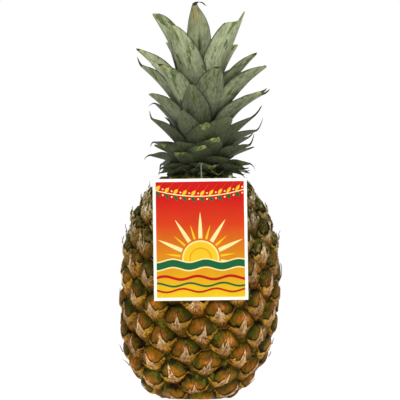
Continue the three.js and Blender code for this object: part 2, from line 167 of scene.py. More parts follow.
class Workshop:
    """Makes raw meshes, shapes them by formula and hands finished pieces to the frame."""

    @staticmethod
    def store(shape: bmesh.types.BMesh, mesh: Mesh) -> None:
        """Puts a bmesh's shape into a mesh and frees the bmesh."""
        shape.to_mesh(mesh)
        shape.free()

    @classmethod
    def grids(cls, name: str, count: int, columns: int, rows: int) -> tuple[Mesh, Array, Array, Array]:
        """Lays out square grids, ready to be shaped.

        Args:
            name: the mesh's name.
            count: how many grids.
            columns: faces across each grid.
            rows: faces along each grid.

        Returns:
            The mesh, then for each vertex its place across its grid (-1 to 1) and along it (0 to 1),
            and its grid's index.
        """
        mesh, shape = bpy.data.meshes.new(name), bmesh.new()
        for index in range(count):
            spot = Matrix.Translation((0.0, 0.0, float(index)))
            bmesh.ops.create_grid(shape, x_segments=columns, y_segments=rows, size=1.0, matrix=spot)
        cls.store(shape, mesh)
        across, along, height = cls.points(mesh).T
        return mesh, across, (along + 1) / 2, np.rint(height).astype(int)

    @classmethod
    def turned(cls, name: str, profile: Pairs, steps: int) -> Mesh:
        """Spins a profile about the vertical axis into a closed skin.

        Args:
            name: the mesh's name.
            profile: (radius, height) points in order.
            steps: faces round the axis.

        Returns:
            The mesh, its seam and poles merged and its faces outwards.
        """
        mesh, shape = bpy.data.meshes.new(name), bmesh.new()
        verts = [shape.verts.new((radius, 0.0, height)) for radius, height in profile]
        edges = [shape.edges.new(pair) for pair in zip(verts, verts[1:])]
        bmesh.ops.spin(
            shape, geom=verts + edges, axis=(0, 0, 1), cent=(0, 0, 0),
            angle=2 * math.pi, steps=steps, use_merge=True,
        )
        bmesh.ops.remove_doubles(shape, verts=shape.verts, dist=SEAM)
        bmesh.ops.recalc_face_normals(shape, faces=shape.faces)
        cls.store(shape, mesh)
        return mesh

    @staticmethod
    def points(mesh: Mesh) -> Array:
        """Every vertex's place, one row each."""
        flat = np.empty(len(mesh.vertices) * 3, np.float32)
        mesh.vertices.foreach_get("co", flat)
        return flat.reshape(-1, 3).astype(float)

    @staticmethod
    def move(mesh: Mesh, places: Array) -> None:
        """Moves every vertex to its row of places."""
        mesh.vertices.foreach_set("co", places.astype(np.float32).ravel())
        mesh.update()

    @staticmethod
    def mark(mesh: Mesh, domain: str = "POINT", **attributes: Array) -> None:
        """Stores what the finish reads on every point or corner.

        Args:
            mesh: the mesh to mark.
            domain: POINT or CORNER.
            **attributes: one row for each element, by the attribute's name. Three columns make a vector.
        """
        for name, values in attributes.items():
            kind, slot = ("FLOAT_VECTOR", "vector") if values.ndim == 2 else ("FLOAT", "value")
            layer = mesh.attributes.new(name, kind, domain)
            layer.data.foreach_set(slot, values.astype(np.float32).ravel())

    @classmethod
    def weld(cls, mesh: Mesh) -> None:
        """Closes seams and poles and turns the faces outwards.

        Args:
            mesh: the mesh to close.
        """
        shape = bmesh.new()
        shape.from_mesh(mesh)
        bmesh.ops.remove_doubles(shape, verts=shape.verts, dist=SEAM)
        bmesh.ops.dissolve_degenerate(shape, edges=shape.edges, dist=SEAM)
        bmesh.ops.recalc_face_normals(shape, faces=shape.faces)
        cls.store(shape, mesh)

    @classmethod
    def thicken(cls, mesh: Mesh, thickness: float) -> Array:
        """Gives a sheet its thickness.

        Args:
            mesh: the sheet, which faces +Z.
            thickness: its thickness in millimetres.

        Returns:
            Every vertex's place, with the highest at 0 in z.
        """
        shape = bmesh.new()
        shape.from_mesh(mesh)
        bmesh.ops.solidify(shape, geom=shape.faces, thickness=thickness)
        bmesh.ops.recalc_face_normals(shape, faces=shape.faces)
        cls.store(shape, mesh)
        places = cls.points(mesh)
        places[:, 2] -= places[:, 2].max()
        return places

    @staticmethod
    def link(name: str, data: bpy.types.ID) -> Object:
        """Adds an object to the scene.

        Args:
            name: its name.
            data: the mesh, lamp or camera that it shows.

        Returns:
            The new object.
        """
        made = bpy.data.objects.new(name, data)
        bpy.context.scene.collection.objects.link(made)
        return made

    @classmethod
    def place(cls, mesh: Mesh, material: Material, node: str, slot: Slot) -> Object:
        """Hands a finished piece to the frame, in metres.

        Args:
            mesh: the piece's shape in millimetres, in its final place.
            material: its finish.
            node: the plain solid that it stands for.
            slot: the record's material slot; not used.

        Returns:
            The new object.
        """
        mesh.transform(Matrix.Scale(MM, 4))
        mesh.shade_smooth()
        mesh.materials.append(material)
        made = cls.link(mesh.name, mesh)
        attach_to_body(made, "root")
        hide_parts(node)
        faces = sum(len(face.vertices) - 2 for face in mesh.polygons)
        log.info("%s stands for %s with %d triangles", made.name, node, faces)
        return made


# ---- Finishes ----


class Graph:
    """A material's shader, with short ways to add nodes and join them."""

    def __init__(self, name: str) -> None:
        """Starts a material with one shader.

        Args:
            name: the material's name.
        """
        self.material = bpy.data.materials.new(name)
        self.material.use_nodes = True
        self.tree = self.material.node_tree
        self.shader = self.tree.nodes["Principled BSDF"]

    def node(self, kind: str, *sources: Feed | tuple, **settings: object) -> bpy.types.Node:
        """Adds a node and feeds its inputs.

        Args:
            kind: its type's name, after ShaderNode.
            *sources: what goes into its first inputs, in their order.
            **settings: its options.

        Returns:
            The new node.
        """
        made = self.tree.nodes.new("ShaderNode" + kind)
        for key, value in settings.items():
            setattr(made, key, value)
        for socket, source in zip(made.inputs, sources):
            self.feed(socket, source)
        return made

    def feed(self, target: Socket, source: Feed | tuple) -> None:
        """Joins a socket to another, or sets it to a fixed value.

        Args:
            target: the input socket.
            source: an output socket or the fixed value.
        """
        if isinstance(source, bpy.types.NodeSocket):
            self.tree.links.new(source, target)
        else:
            target.default_value = source

    def math(self, operation: str, *numbers: Feed, clamp: bool = False) -> Socket:
        """The result of a Math node's operation on one to three numbers."""
        return self.node("Math", *numbers, operation=operation, use_clamp=clamp).outputs[0]

    def add(self, a: Feed, b: Feed) -> Socket:
        """The sum of two numbers."""
        return self.math("ADD", a, b)

    def times(self, a: Feed, b: Feed) -> Socket:
        """The product of two numbers."""
        return self.math("MULTIPLY", a, b)

    def far(self, x: Feed, y: Feed) -> Socket:
        """How long the line is that runs x one way and y square to it."""
        return self.math("SQRT", self.add(self.times(x, x), self.times(y, y)))

    def swing(self, noise: Socket, amount: float) -> Socket:
        """A noise's departure from its middle, made larger or smaller."""
        return self.times(self.add(noise, -0.5), amount)

    def rise(self, value: Feed, low: float, high: float, to_low: Feed = 0.0, to_high: Feed = 1.0) -> Socket:
        """A number brought smoothly from the range of low to high to that of to_low to to_high."""
        made = self.node("MapRange", value, low, high, to_low, to_high, interpolation_type="SMOOTHSTEP")
        return made.outputs["Result"]

    def number(self, name: str) -> Socket:
        """Reads a number that is stored on the mesh."""
        return self.node("Attribute", attribute_name=name).outputs["Fac"]

    def vector(self, name: str) -> Socket:
        """Reads a vector that is stored on the mesh."""
        return self.node("Attribute", attribute_name=name).outputs["Vector"]

    def place(self) -> Socket:
        """The point's own place on the piece, in metres."""
        return self.node("TexCoord").outputs["Object"]

    def split(self, vector: Socket) -> tuple[Socket, Socket, Socket]:
        """The three parts of a vector."""
        return tuple(self.node("SeparateXYZ", vector).outputs)

    def join(self, x: Feed, y: Feed, z: Feed = 0.0) -> Socket:
        """A vector from its three parts."""
        return self.node("CombineXYZ", x, y, z).outputs[0]

    def stretch(self, vector: Socket, x: float, y: float, z: float) -> Socket:
        """A vector with each part scaled."""
        return self.node("VectorMath", vector, (x, y, z), operation="MULTIPLY").outputs[0]

    def noise(self, vector: Socket, scale: float, detail: float = 3.0, roughness: float = 0.55) -> Socket:
        """Cloudy noise from 0 to 1, mostly near 0.5, with a scale of clouds for each unit of the vector."""
        return self.node("TexNoise", vector, 0.0, scale, detail, roughness).outputs["Fac"]

    def ramp(self, factor: Socket, stops: Sequence[tuple[float, Paint]]) -> Socket:
        """Runs through colours.

        Args:
            factor: the place on the ramp.
            stops: (place, colour) pairs in order.

        Returns:
            The colour.
        """
        made = self.node("ValToRGB")
        elements = made.color_ramp.elements
        while len(elements) < len(stops):
            elements.new(1.0)
        for element, (place, paint) in zip(elements, stops):
            element.position = place
            element.color = paint.linear()
        self.feed(made.inputs[0], factor)
        return made.outputs[0]

    def blend(self, factor: Feed, under: Socket | Paint, over: Socket | Paint, kind: str = "MIX") -> Socket:
        """Lays one colour over another.

        Args:
            factor: how much of the upper colour shows.
            under: the lower colour.
            over: the upper colour.
            kind: the Mix node's way of blending.

        Returns:
            The colour.
        """
        made = self.node("Mix", data_type="RGBA", blend_type=kind)
        self.feed(made.inputs[0], factor)
        for socket, source in ((made.inputs[6], under), (made.inputs[7], over)):
            self.feed(socket, source.linear() if isinstance(source, Paint) else source)
        return made.outputs[2]

    def shade(self, color: Socket, factor: Socket) -> Socket:
        """A colour made darker or lighter by a number."""
        return self.blend(1.0, color, self.join(factor, factor, factor), "MULTIPLY")

    def bump(
        self, height: Socket, distance: float, strength: float = 1.0, under: Socket | None = None
    ) -> Socket:
        """Adds fine relief.

        Args:
            height: its height, from 0 to 1.
            distance: how deep that is, in metres.
            strength: how much of it shows.
            under: the normal of a coarser relief below it.

        Returns:
            The bent normal.
        """
        made = self.node("Bump")
        self.feed(made.inputs["Height"], height)
        made.inputs["Distance"].default_value = distance
        made.inputs["Strength"].default_value = strength
        if under is not None:
            self.feed(made.inputs["Normal"], under)
        return made.outputs["Normal"]

    def finish(
        self, color: Socket, roughness: Feed, normal: Socket | None = None, gloss: float = 0.5
    ) -> Material:
        """Joins everything to the shader.

        Args:
            color: the surface's colour.
            roughness: its roughness.
            normal: its bent normal.
            gloss: the shader's specular level.

        Returns:
            The material.
        """
        self.feed(self.shader.inputs["Base Color"], color)
        self.feed(self.shader.inputs["Roughness"], roughness)
        self.shader.inputs["Specular IOR Level"].default_value = gloss
        if normal is not None:
            self.feed(self.shader.inputs["Normal"], normal)
        return self.material


@dataclass(frozen=True)
class RindFinish:
    """Waxy rind: each eye's cap runs from a painted highlight and orange brown to a dark green rim, over a
    fibrous lower scale, with painted shade in the creases, round the caps and under the bracts' edges.
    """

    # painted highlight: the brightest colour, in the middle of each cap
    cap_highlight: Paint = Paint(198, 122, 52)
    middle: Paint = Paint(160, 96, 26)
    inner: Paint = Paint(132, 86, 10)
    olive: Paint = Paint(98, 78, 12)
    # rim: the caps' own dark green rim; edge: near-black painted shade where a cap runs into its crease
    rim: Paint = Paint(68, 50, 6)
    edge: Paint = Paint(32, 19, 3)
    green: Paint = Paint(62, 62, 14)
    scale_light: Paint = Paint(152, 98, 28)
    scale_dark: Paint = Paint(80, 45, 12)
    # crease: near-black painted shade, laid in the creases, round the caps, under the bracts' edges and in
    # pockets on the upper part
    crease: Paint = Paint(22, 12, 2)
    moss: Paint = Paint(54, 58, 12)
    lime: Paint = Paint(110, 110, 30)
    shaded: Paint = Paint(34, 42, 14)
    sage: Paint = Paint(90, 88, 36)
    pale_green: Paint = Paint(152, 146, 88)

    def make(self) -> Material:
        """Builds the rind's material.

        Returns:
            The material.
        """
        g = Graph("rind")
        place = g.place()
        cap, edge, seed, over = g.number("cap"), g.number("edge"), g.number("seed"), g.number("over")
        own = g.math("FRACT", g.times(seed, 7.31))
        height = g.split(place)[2]
        upper = g.rise(height, 0.07, 0.15)
        clouds = g.noise(place, 300.0, 4.0, 0.6)
        fine = g.noise(place, 1500.0, 3.0, 0.65)
        blotch = g.noise(place, 55.0, 2.0)
        patchy = g.noise(place, 130.0, 3.0, 0.6)
        # towards the crease the cap runs into its rim's own dark green, then into near-black painted shade
        reach = g.math("MAXIMUM", cap, g.rise(edge, 2.4, 0.2, 0.1, 1.0))
        reach = g.add(reach, g.add(g.swing(clouds, 0.7), g.swing(patchy, 0.8)))
        reach = g.add(reach, g.times(self.off_centre(g, own), 0.03))
        skin = g.ramp(reach, [
            (0.0, self.cap_highlight), (0.2, self.middle), (0.48, self.inner), (0.72, self.olive),
            (0.94, self.rim), (1.1, self.edge),
        ])
        greener = self.greenness(g, height, seed, blotch)
        skin = g.blend(g.times(greener, 0.8), skin, self.green)
        raw = g.ramp(clouds, [(0.38, self.shaded), (0.5, self.sage), (0.62, self.pale_green)])
        skin = g.blend(g.times(upper, g.rise(patchy, 0.4, 0.56, 0.5, 0.95)), skin, raw)
        fibre = g.noise(g.stretch(g.vector("eye"), 1.0, 0.16, 1.0), 1.1, 3.0, 0.6)
        scale = g.ramp(fibre, [(0.34, self.scale_dark), (0.62, self.scale_light)])
        mossy = g.math("MAXIMUM", g.times(greener, 0.7), g.rise(seed, 0.35, 0.7, 0.0, 0.55))
        scale = g.blend(mossy, scale, self.green)
        streak = g.noise(g.stretch(g.vector("eye"), 1.0, 0.3, 1.0), 0.75, 4.0, 0.7)
        skin = g.shade(skin, g.rise(streak, 0.36, 0.64, 0.62, 1.22))
        skin = g.shade(skin, g.rise(own, 0.0, 1.0, 0.64, 1.2))
        color = g.blend(g.rise(cap, 1.02, 1.1), skin, scale)
        # painted shade: a dark line round each cap's rim, where the bracts' edges overlap it
        outline = g.times(g.rise(cap, 0.93, 1.0), g.rise(cap, 1.14, 1.06))
        color = g.blend(g.times(outline, g.rise(clouds, 0.35, 0.62, 0.95, 0.6)), color, self.crease)
        moss = g.times(g.rise(g.add(edge, g.swing(clouds, 6.0)), 4.5, 1.0), g.rise(blotch, 0.46, 0.54))
        color = g.blend(g.times(moss, 0.8), color, g.blend(g.rise(patchy, 0.53, 0.62), self.moss, self.lime))
        color = g.shade(color, g.rise(fine, 0.25, 0.75, 0.7, 1.25))
        wide = g.add(over, g.add(clouds, g.times(upper, -1.6)))
        shadow = g.times(g.rise(over, -0.6, 0.2), g.rise(wide, 2.3, 0.9))
        color = g.blend(g.times(shadow, 0.85), color, self.crease)
        # painted shade: dark pockets between the eyes on the upper part
        pocket_shade = g.noise(place, 420.0, 4.0, 0.7)
        color = g.blend(g.times(upper, g.rise(pocket_shade, 0.46, 0.38, 0.0, 0.75)), color, self.crease)
        # painted shade: the creases darker, and wider on the upper part
        deep = g.rise(g.add(edge, g.times(upper, -0.9)), 1.0, 0.1)
        color = g.blend(g.times(deep, g.rise(clouds, 0.3, 0.6, 0.95, 0.35)), color, self.crease)
        rough = g.add(g.rise(cap, 0.7, 1.1, 0.4, 0.68), g.swing(clouds, 0.3))
        normal = g.bump(streak, 0.0014, 0.6, g.bump(clouds, 0.0009, 0.7))
        normal = g.bump(fine, 0.00022, 0.7, normal)
        g.shader.inputs["Coat Weight"].default_value = 0.02
        g.shader.inputs["Coat Roughness"].default_value = 0.22
        return g.finish(color, rough, normal, 0.04)

    def off_centre(self, g: Graph, own: Socket) -> Socket:
        """How far points lie from their eye's middle towards a side that differs from eye to eye."""
        (x, y, _), turn = g.split(g.vector("eye")), g.times(own, 2 * math.pi)
        return g.add(g.times(x, g.math("SINE", turn)), g.times(y, g.math("COSINE", turn)))

    def greenness(self, g: Graph, height: Socket, seed: Socket, blotch: Socket) -> Socket:
        """How green the rind is: little near the base, more towards the neck, and in mossy patches.

        Args:
            g: the material.
            height: the point's height.
            seed: the eye's own number.
            blotch: a broad noise.

        Returns:
            A number from 0 to 1.
        """
        rising = g.math("MULTIPLY_ADD", height, 6.0, g.add(g.times(seed, 0.4), -0.55), clamp=True)
        rising = g.times(rising, g.rise(blotch, 0.3, 0.6, 0.4, 1.0))
        return g.math("MAXIMUM", rising, g.rise(blotch, 0.56, 0.66, 0.0, 0.8))


@dataclass(frozen=True)
class BractFinish:
    """Dry papery bracts: pinkish spike, golden wings, tan fibrous fan with stains, paler near the neck, and a
    painted highlight along their top edges.
    """

    spike: Paint = Paint(252, 212, 162)
    wing: Paint = Paint(214, 168, 72)
    high_spike: Paint = Paint(255, 238, 204)
    high_wing: Paint = Paint(206, 194, 130)
    pink: Paint = Paint(214, 154, 88)
    gold: Paint = Paint(208, 154, 24)
    tan: Paint = Paint(166, 108, 20)
    brown: Paint = Paint(92, 52, 11)
    stain: Paint = Paint(110, 44, 30)
    green: Paint = Paint(60, 62, 14)
    withered: Paint = Paint(54, 42, 30)
    olive: Paint = Paint(128, 120, 66)
    fan_middle: float = 4.5

    def make(self) -> Material:
        """Builds the bracts' material.

        Returns:
            The material.
        """
        g = Graph("bract")
        eye = g.vector("eye")
        x, y, _ = g.split(eye)
        free, seed, rim = g.number("free"), g.number("seed"), g.number("rim")
        fibre = self.fibres(g, eye)
        cloud = g.noise(eye, 0.3, 3.0, 0.6)
        height = g.split(g.place())[2]
        upper = g.rise(g.add(height, g.times(seed, 0.12)), 0.05, 0.22)
        neck = g.rise(height, 0.09, 0.16)
        away = g.math("ABSOLUTE", x)
        light = g.blend(g.rise(g.add(away, g.times(seed, 5.0)), 3.5, 8.5), self.pink, self.gold)
        color = g.blend(g.rise(fibre, 0.36, 0.5), self.brown, self.tan)
        color = g.blend(g.rise(fibre, 0.47, 0.62), color, light)
        pale = g.times(g.rise(away, 0.8, 5.5, 1.0, 0.0), g.rise(y, -9.5, -5.5))
        pale = g.math("MAXIMUM", pale, g.rise(free, 0.02, 0.2))
        pale = g.times(pale, g.rise(g.add(rim, g.times(neck, 3.0)), 5.0, 8.0, 1.0, 0.45))
        streaked = g.rise(fibre, 0.4, 0.56, 0.15, 1.0)
        pale = g.times(pale, streaked)
        pale = g.times(pale, g.rise(g.add(seed, neck), 0.6, 1.8, 1.0, 0.85))
        wings = g.times(g.rise(rim, 4.6, 1.2), g.rise(away, 11.0, 6.0, 0.3, 0.9))
        wings = g.times(wings, streaked)
        color = g.blend(g.times(neck, g.rise(cloud, 0.4, 0.6, 0.35, 0.8)), color, self.olive)
        color = g.blend(wings, color, g.blend(neck, self.wing, self.high_wing))
        color = g.blend(g.times(pale, 0.92), color, g.blend(neck, self.spike, self.high_spike))
        # painted highlight: a gold line along the bracts' top edges
        edge_highlight = g.times(g.rise(rim, 1.0, 0.2), g.rise(away, 1.5, 4.0, 0.0, 0.4))
        color = g.blend(g.times(edge_highlight, g.rise(cloud, 0.6, 0.45)), color, self.gold)
        foot = g.add(g.number("foot"), g.swing(fibre, 6.0))
        deep = g.times(g.rise(g.add(y, g.swing(fibre, 5.0)), -7.5, -10.5), 0.75)
        color = g.blend(deep, color, self.brown)
        low = g.rise(foot, 1.8, -0.6)
        dull = g.blend(upper, self.brown, self.green)
        color = g.blend(g.times(low, 0.9), color, dull)
        side = g.times(g.rise(away, 4.0, 9.0), g.rise(cloud, 0.5, 0.62))
        color = g.blend(g.times(side, 0.6), color, dull)
        stains = g.times(g.rise(cloud, 0.57, 0.66), g.rise(free, 0.3, 0.0))
        color = g.blend(g.times(stains, 0.7), color, self.stain)
        color = g.blend(g.times(g.rise(free, 0.75, 1.0), g.rise(seed, 0.3, 0.6)), color, self.withered)
        color = g.blend(g.rise(rim, 0.0, 0.25, 0.4, 0.0), color, self.brown)
        hair = g.noise(g.stretch(eye, 1.0, 0.2, 1.0), 2.6, 3.0, 0.7)
        dark_hair, bright_hair = g.rise(neck, 0.0, 1.0, 0.55, 0.34), g.rise(neck, 0.0, 1.0, 1.25, 1.5)
        color = g.shade(color, g.rise(hair, 0.34, 0.66, dark_hair, bright_hair))
        color = g.shade(color, g.rise(g.math("FRACT", g.times(seed, 5.17)), 0.0, 1.0, 0.72, 1.16))
        normal = g.bump(hair, 0.0006, 1.0, g.bump(fibre, 0.0014, 1.0))
        return g.finish(color, g.rise(fibre, 0.2, 0.8, 0.72, 0.5), normal, 0.06)

    def fibres(self, g: Graph, eye: Socket) -> Socket:
        """Fibres that fan out from the foot of the spike.

        Args:
            g: the material.
            eye: the point's place on its eye.

        Returns:
            A number from 0 to 1, streaked along the fibres.
        """
        x, y, seed = g.split(eye)
        up = g.add(y, self.fan_middle)
        turn = g.times(g.math("ARCTAN2", x, g.add(g.math("ABSOLUTE", up), 0.8)), 6.0)
        far = g.times(g.far(x, up), 0.28)
        return g.noise(g.join(turn, far, seed), 1.0, 4.0, 0.7)


@dataclass(frozen=True)
class LeafFinish:
    """Stiff leaves: grey-green powdered skin with green scuffs, fine lengthwise lines and dry tips, painted
    shade at the roots and edges, and lower leaves darker with both their own older green and painted shade.
    """

    powder: Paint = Paint(172, 179, 140)
    grey: Paint = Paint(130, 138, 104)
    # the lower leaves' colours: partly the older leaves' own darker green, partly painted shade from the
    # leaves above
    old_shaded_powder: Paint = Paint(86, 92, 68)
    old_shaded_grey: Paint = Paint(57, 64, 43)
    green: Paint = Paint(76, 96, 42)
    upper: Paint = Paint(80, 92, 52)
    yellow: Paint = Paint(176, 170, 92)
    blush: Paint = Paint(176, 138, 70)
    # margin: the bruises' own dark green, also painted along the leaves' edges as shade between them
    margin: Paint = Paint(52, 56, 36)
    # root: dark painted shade towards each leaf's root, between the leaves
    root: Paint = Paint(28, 32, 16)
    dry: Paint = Paint(40, 34, 26)
    straw: Paint = Paint(172, 172, 118)

    def make(self) -> Material:
        """Builds the leaves' material.

        Returns:
            The material.
        """
        g = Graph("leaf")
        grain = g.vector("grain")
        across, along, inner = g.number("across"), g.number("along"), g.number("inner")
        seed, young = g.number("seed"), g.number("young")
        lines = g.noise(g.stretch(grain, 1.8, 0.03, 1.0), 1.0, 3.0, 0.6)
        mottle = g.noise(g.stretch(grain, 1.0, 0.3, 1.0), 0.6, 4.0, 0.65)
        patch = g.noise(g.stretch(grain, 1.0, 0.2, 1.0), 0.26, 4.0, 0.7)
        speck = g.noise(grain, 1.8, 2.0, 0.7)
        fresh = g.ramp(mottle, [(0.34, self.grey), (0.62, self.powder)])
        # lower leaves darker: partly their own older colour, partly painted shade
        aged_and_shaded = g.ramp(mottle, [(0.34, self.old_shaded_grey), (0.62, self.old_shaded_powder)])
        color = g.blend(g.rise(g.add(young, g.swing(seed, 0.16)), 0.53, 1.0), aged_and_shaded, fresh)
        color = g.blend(self.scuffs(g, patch, speck, along), color, self.green)
        bruise = g.rise(g.add(patch, mottle), 1.14, 1.24)
        color = g.blend(g.times(bruise, 0.6), color, self.margin)
        tip = g.rise(g.add(along, g.swing(mottle, 0.3)), 0.84, 1.0)
        color = g.blend(g.times(tip, g.rise(seed, 0.62, 0.95, 0.1, 0.85)), color, self.yellow)
        color = g.blend(g.times(g.times(inner, 0.5), g.rise(young, 0.95, 0.8)), color, self.upper)
        heart = g.times(g.rise(along, 0.62, 0.84), g.rise(along, 0.96, 0.88))
        heart = g.times(heart, g.rise(young, 0.985, 0.995))
        heart = g.times(heart, g.rise(g.math("ABSOLUTE", g.add(across, 0.1)), 0.75, 0.2))
        color = g.blend(g.times(heart, g.rise(mottle, 0.4, 0.6, 0.1, 0.7)), color, self.blush)
        color = g.shade(color, g.rise(lines, 0.3, 0.7, 0.72, 1.2))
        # painted shade: darker towards each leaf's root
        color = g.blend(g.rise(along, 0.1, 0.5, 0.92, 0.0), color, self.root)
        away = g.math("ABSOLUTE", across)
        # painted shade: a dark line along the leaves' edges
        color = g.blend(g.rise(away, 0.9, 0.985, 0.0, 0.85), color, self.margin)
        bleached = g.rise(g.add(g.number("torn"), g.swing(mottle, 2.2)), 0.6, 0.9)
        straws = g.blend(g.rise(speck, 0.4, 0.56), self.straw, self.yellow)
        straws = g.blend(g.rise(patch, 0.44, 0.54), straws, self.green)
        color = g.blend(g.times(bleached, g.rise(seed, 0.3, 0.7, 0.5, 0.85)), color, straws)
        dried = g.rise(g.add(g.number("dry"), g.swing(speck, 0.5)), 0.3, 0.7)
        color = g.blend(g.times(dried, 0.94), color, self.dry)
        normal = g.bump(speck, 0.00015, 0.5, g.bump(lines, 0.0005, 0.5))
        rough = g.rise(mottle, 0.3, 0.7, 0.5, 0.64)
        return g.finish(color, rough, normal, 0.16)

    def scuffs(self, g: Graph, patch: Socket, speck: Socket, along: Socket) -> Socket:
        """Where the powder is rubbed off: crisp lengthwise patches, more of them towards the tip.

        Args:
            g: the material.
            patch: a broad lengthwise noise.
            speck: a fine noise, which frays the patches' edges.
            along: how far along its leaf the point is.

        Returns:
            A number from 0 to 1.
        """
        worn = g.add(patch, g.swing(speck, 0.22))
        worn = g.add(worn, g.rise(along, 0.3, 0.95, -0.07, 0.03))
        return g.times(g.rise(worn, 0.55, 0.59), 0.85)


@dataclass(frozen=True)
class Card:
    """The hang tag's card and the place where it hangs."""

    width: float = 74.7
    height: float = 96.6
    thickness: float = 0.8
    centre_x: float = 5.0
    tie_x: float = 1.6
    bottom: float = 79.8
    stand_off: float = 69.0
    lean: float = math.radians(4.2)
    tilt: float = math.radians(0.8)

    @cached_property
    def hung(self) -> Matrix:
        """Takes the card to where it hangs.

        Returns:
            The turn and shift from across, up and forward of the card to the frame's axes.
        """
        upright = Matrix.Rotation(math.pi / 2, 4, "X")
        turned = Matrix.Rotation(-self.lean, 4, "X") @ Matrix.Rotation(-self.tilt, 4, "Y")
        return Matrix.Translation((self.centre_x, -self.stand_off, self.bottom)) @ turned @ upright

    def spot(self, across: float, up: float, forward: float) -> Vector:
        """Where one point of the card hangs."""
        return self.hung @ Vector((across, up, forward))


@dataclass(frozen=True)
class PrintFinish:
    """Printed card: a sun with its rays over a green hill and waves, a garland above, a white margin."""

    card: Card
    margin: float = 2.4
    paper: Paint = Paint(246, 243, 234)
    back: Paint = Paint(224, 216, 198)
    back_fibre: Paint = Paint(206, 196, 174)
    cream: Paint = Paint(240, 222, 150)
    sun: Paint = Paint(232, 188, 30)
    core: Paint = Paint(224, 148, 14)
    green: Paint = Paint(12, 92, 50)
    red: Paint = Paint(178, 10, 8)
    horizon: float = 33.0
    disc: float = 13.5
    ray_reach: float = 37.0
    rays: float = 22.0
    garland_height: float = 82.5
    garland_sag: float = 0.0042
    leaf_pitch: float = 7.0
    leaf_angle: float = math.radians(52)
    soft: float = 0.12
    # The ground colour's stops, from the lower edge (0) to the upper one (1).
    ground: tuple = (
        (0.03, Paint(226, 190, 12)), (0.22, Paint(215, 154, 8)), (0.42, Paint(205, 117, 6)),
        (0.62, Paint(203, 56, 8)), (0.84, Paint(194, 5, 3)),
    )

    def inside(self, g: Graph, room: Socket) -> Socket:
        """1 where the room is above nothing, with an edge of ink's sharpness."""
        return g.rise(room, -self.soft, self.soft)

    def wave(self, g: Graph, x: Socket, y: Socket, level: float, phase: float) -> Socket:
        """How far points lie above a wavy line."""
        swell = g.math("SINE", g.math("MULTIPLY_ADD", x, 0.24, phase))
        return g.add(y, g.math("MULTIPLY_ADD", swell, -1.3, -level))

    def band(self, g: Graph, above: Socket, half: float) -> Socket:
        """1 on a line of a half width."""
        return self.inside(g, g.math("SUBTRACT", half, g.math("ABSOLUTE", above)))

    def sunrise(self, g: Graph, color: Socket, x: Socket, y: Socket) -> Socket:
        """Draws the rays, the disc, the hill and the waves.

        Args:
            g: the material.
            color: the ground colour.
            x: how far right of the card's middle a point is.
            y: how far above its lower edge.

        Returns:
            The colour.
        """
        up = g.add(y, -self.horizon)
        far = g.far(x, up)
        turn = g.times(g.math("ARCTAN2", x, up), self.rays / (2 * math.pi))
        from_ray = g.times(g.math("ABSOLUTE", g.add(g.math("FRACT", g.add(turn, 100.5)), -0.5)), 2.0)
        odd = g.math("GREATER_THAN", g.math("FRACT", g.times(g.math("FLOOR", g.add(turn, 100.5)), 0.5)), 0.25)
        reach = g.math("MULTIPLY_ADD", odd, -9.0, self.ray_reach)
        share = g.math("DIVIDE", g.math("SUBTRACT", reach, far), self.ray_reach - self.disc)
        width = g.times(g.math("SUBTRACT", g.times(share, 0.75), from_ray), g.times(far, 0.14))
        rays = g.times(self.inside(g, width), self.inside(g, g.add(far, -self.disc - 2.6)))
        color = g.blend(rays, color, g.blend(odd, self.cream, self.sun))
        color = g.blend(self.inside(g, g.math("SUBTRACT", self.disc + 1.1, far)), color, self.cream)
        color = g.blend(self.inside(g, g.math("SUBTRACT", self.disc, far)), color, self.sun)
        color = g.blend(self.band(g, g.add(far, -self.disc * 0.62), 0.55), color, self.core)
        hill = self.wave(g, x, y, self.horizon - 1.0, 0.6)
        ground = g.ramp(g.times(y, 1 / self.card.height), self.ground)
        color = g.blend(self.inside(g, g.times(hill, -1.0)), color, ground)
        color = g.blend(self.band(g, g.add(hill, 3.6), 3.4), color, self.green)
        for level, phase, half, paint in (
            (self.horizon - 1.4, 0.6, 0.5, self.cream), (self.horizon - 8.0, 0.6, 0.5, self.cream),
            (18.0, 2.2, 1.1, self.red), (12.5, 3.6, 0.8, self.green), (8.0, 5.0, 0.8, self.red),
        ):
            color = g.blend(self.band(g, self.wave(g, x, y, level, phase), half), color, paint)
        return color

    def garland(self, g: Graph, color: Socket, x: Socket, y: Socket) -> Socket:
        """Draws a stem across the top with a pair of leaves and a berry in each pitch.

        Args:
            g: the material.
            color: the colour below.
            x: how far right of the card's middle a point is.
            y: how far above its lower edge.

        Returns:
            The colour.
        """
        above = g.add(y, g.math("MULTIPLY_ADD", g.times(x, x), -self.garland_sag, -self.garland_height))
        along = g.math("FRACT", g.math("MULTIPLY_ADD", x, 1 / self.leaf_pitch, 100.0))
        along = g.times(along, self.leaf_pitch)
        off = g.math("ABSOLUTE", above)
        cos, sin = math.cos(self.leaf_angle), math.sin(self.leaf_angle)
        out = g.math("MULTIPLY_ADD", along, cos, g.times(off, sin))
        aside = g.math("MULTIPLY_ADD", off, cos, g.times(along, -sin))
        plump = g.math("SINE", g.times(g.math("MULTIPLY_ADD", out, 1 / 5.6, -0.06, clamp=True), math.pi))
        leaf = self.inside(g, g.math("MULTIPLY_ADD", plump, 1.25, g.times(g.math("ABSOLUTE", aside), -1.0)))
        color = g.blend(leaf, color, g.blend(g.math("GREATER_THAN", above, 0.0), self.green, self.sun))
        berry = g.far(g.add(along, -5.7), g.add(off, -2.3))
        color = g.blend(self.inside(g, g.math("SUBTRACT", 0.65, berry)), color, self.cream)
        return g.blend(self.band(g, above, 0.4), color, self.cream)

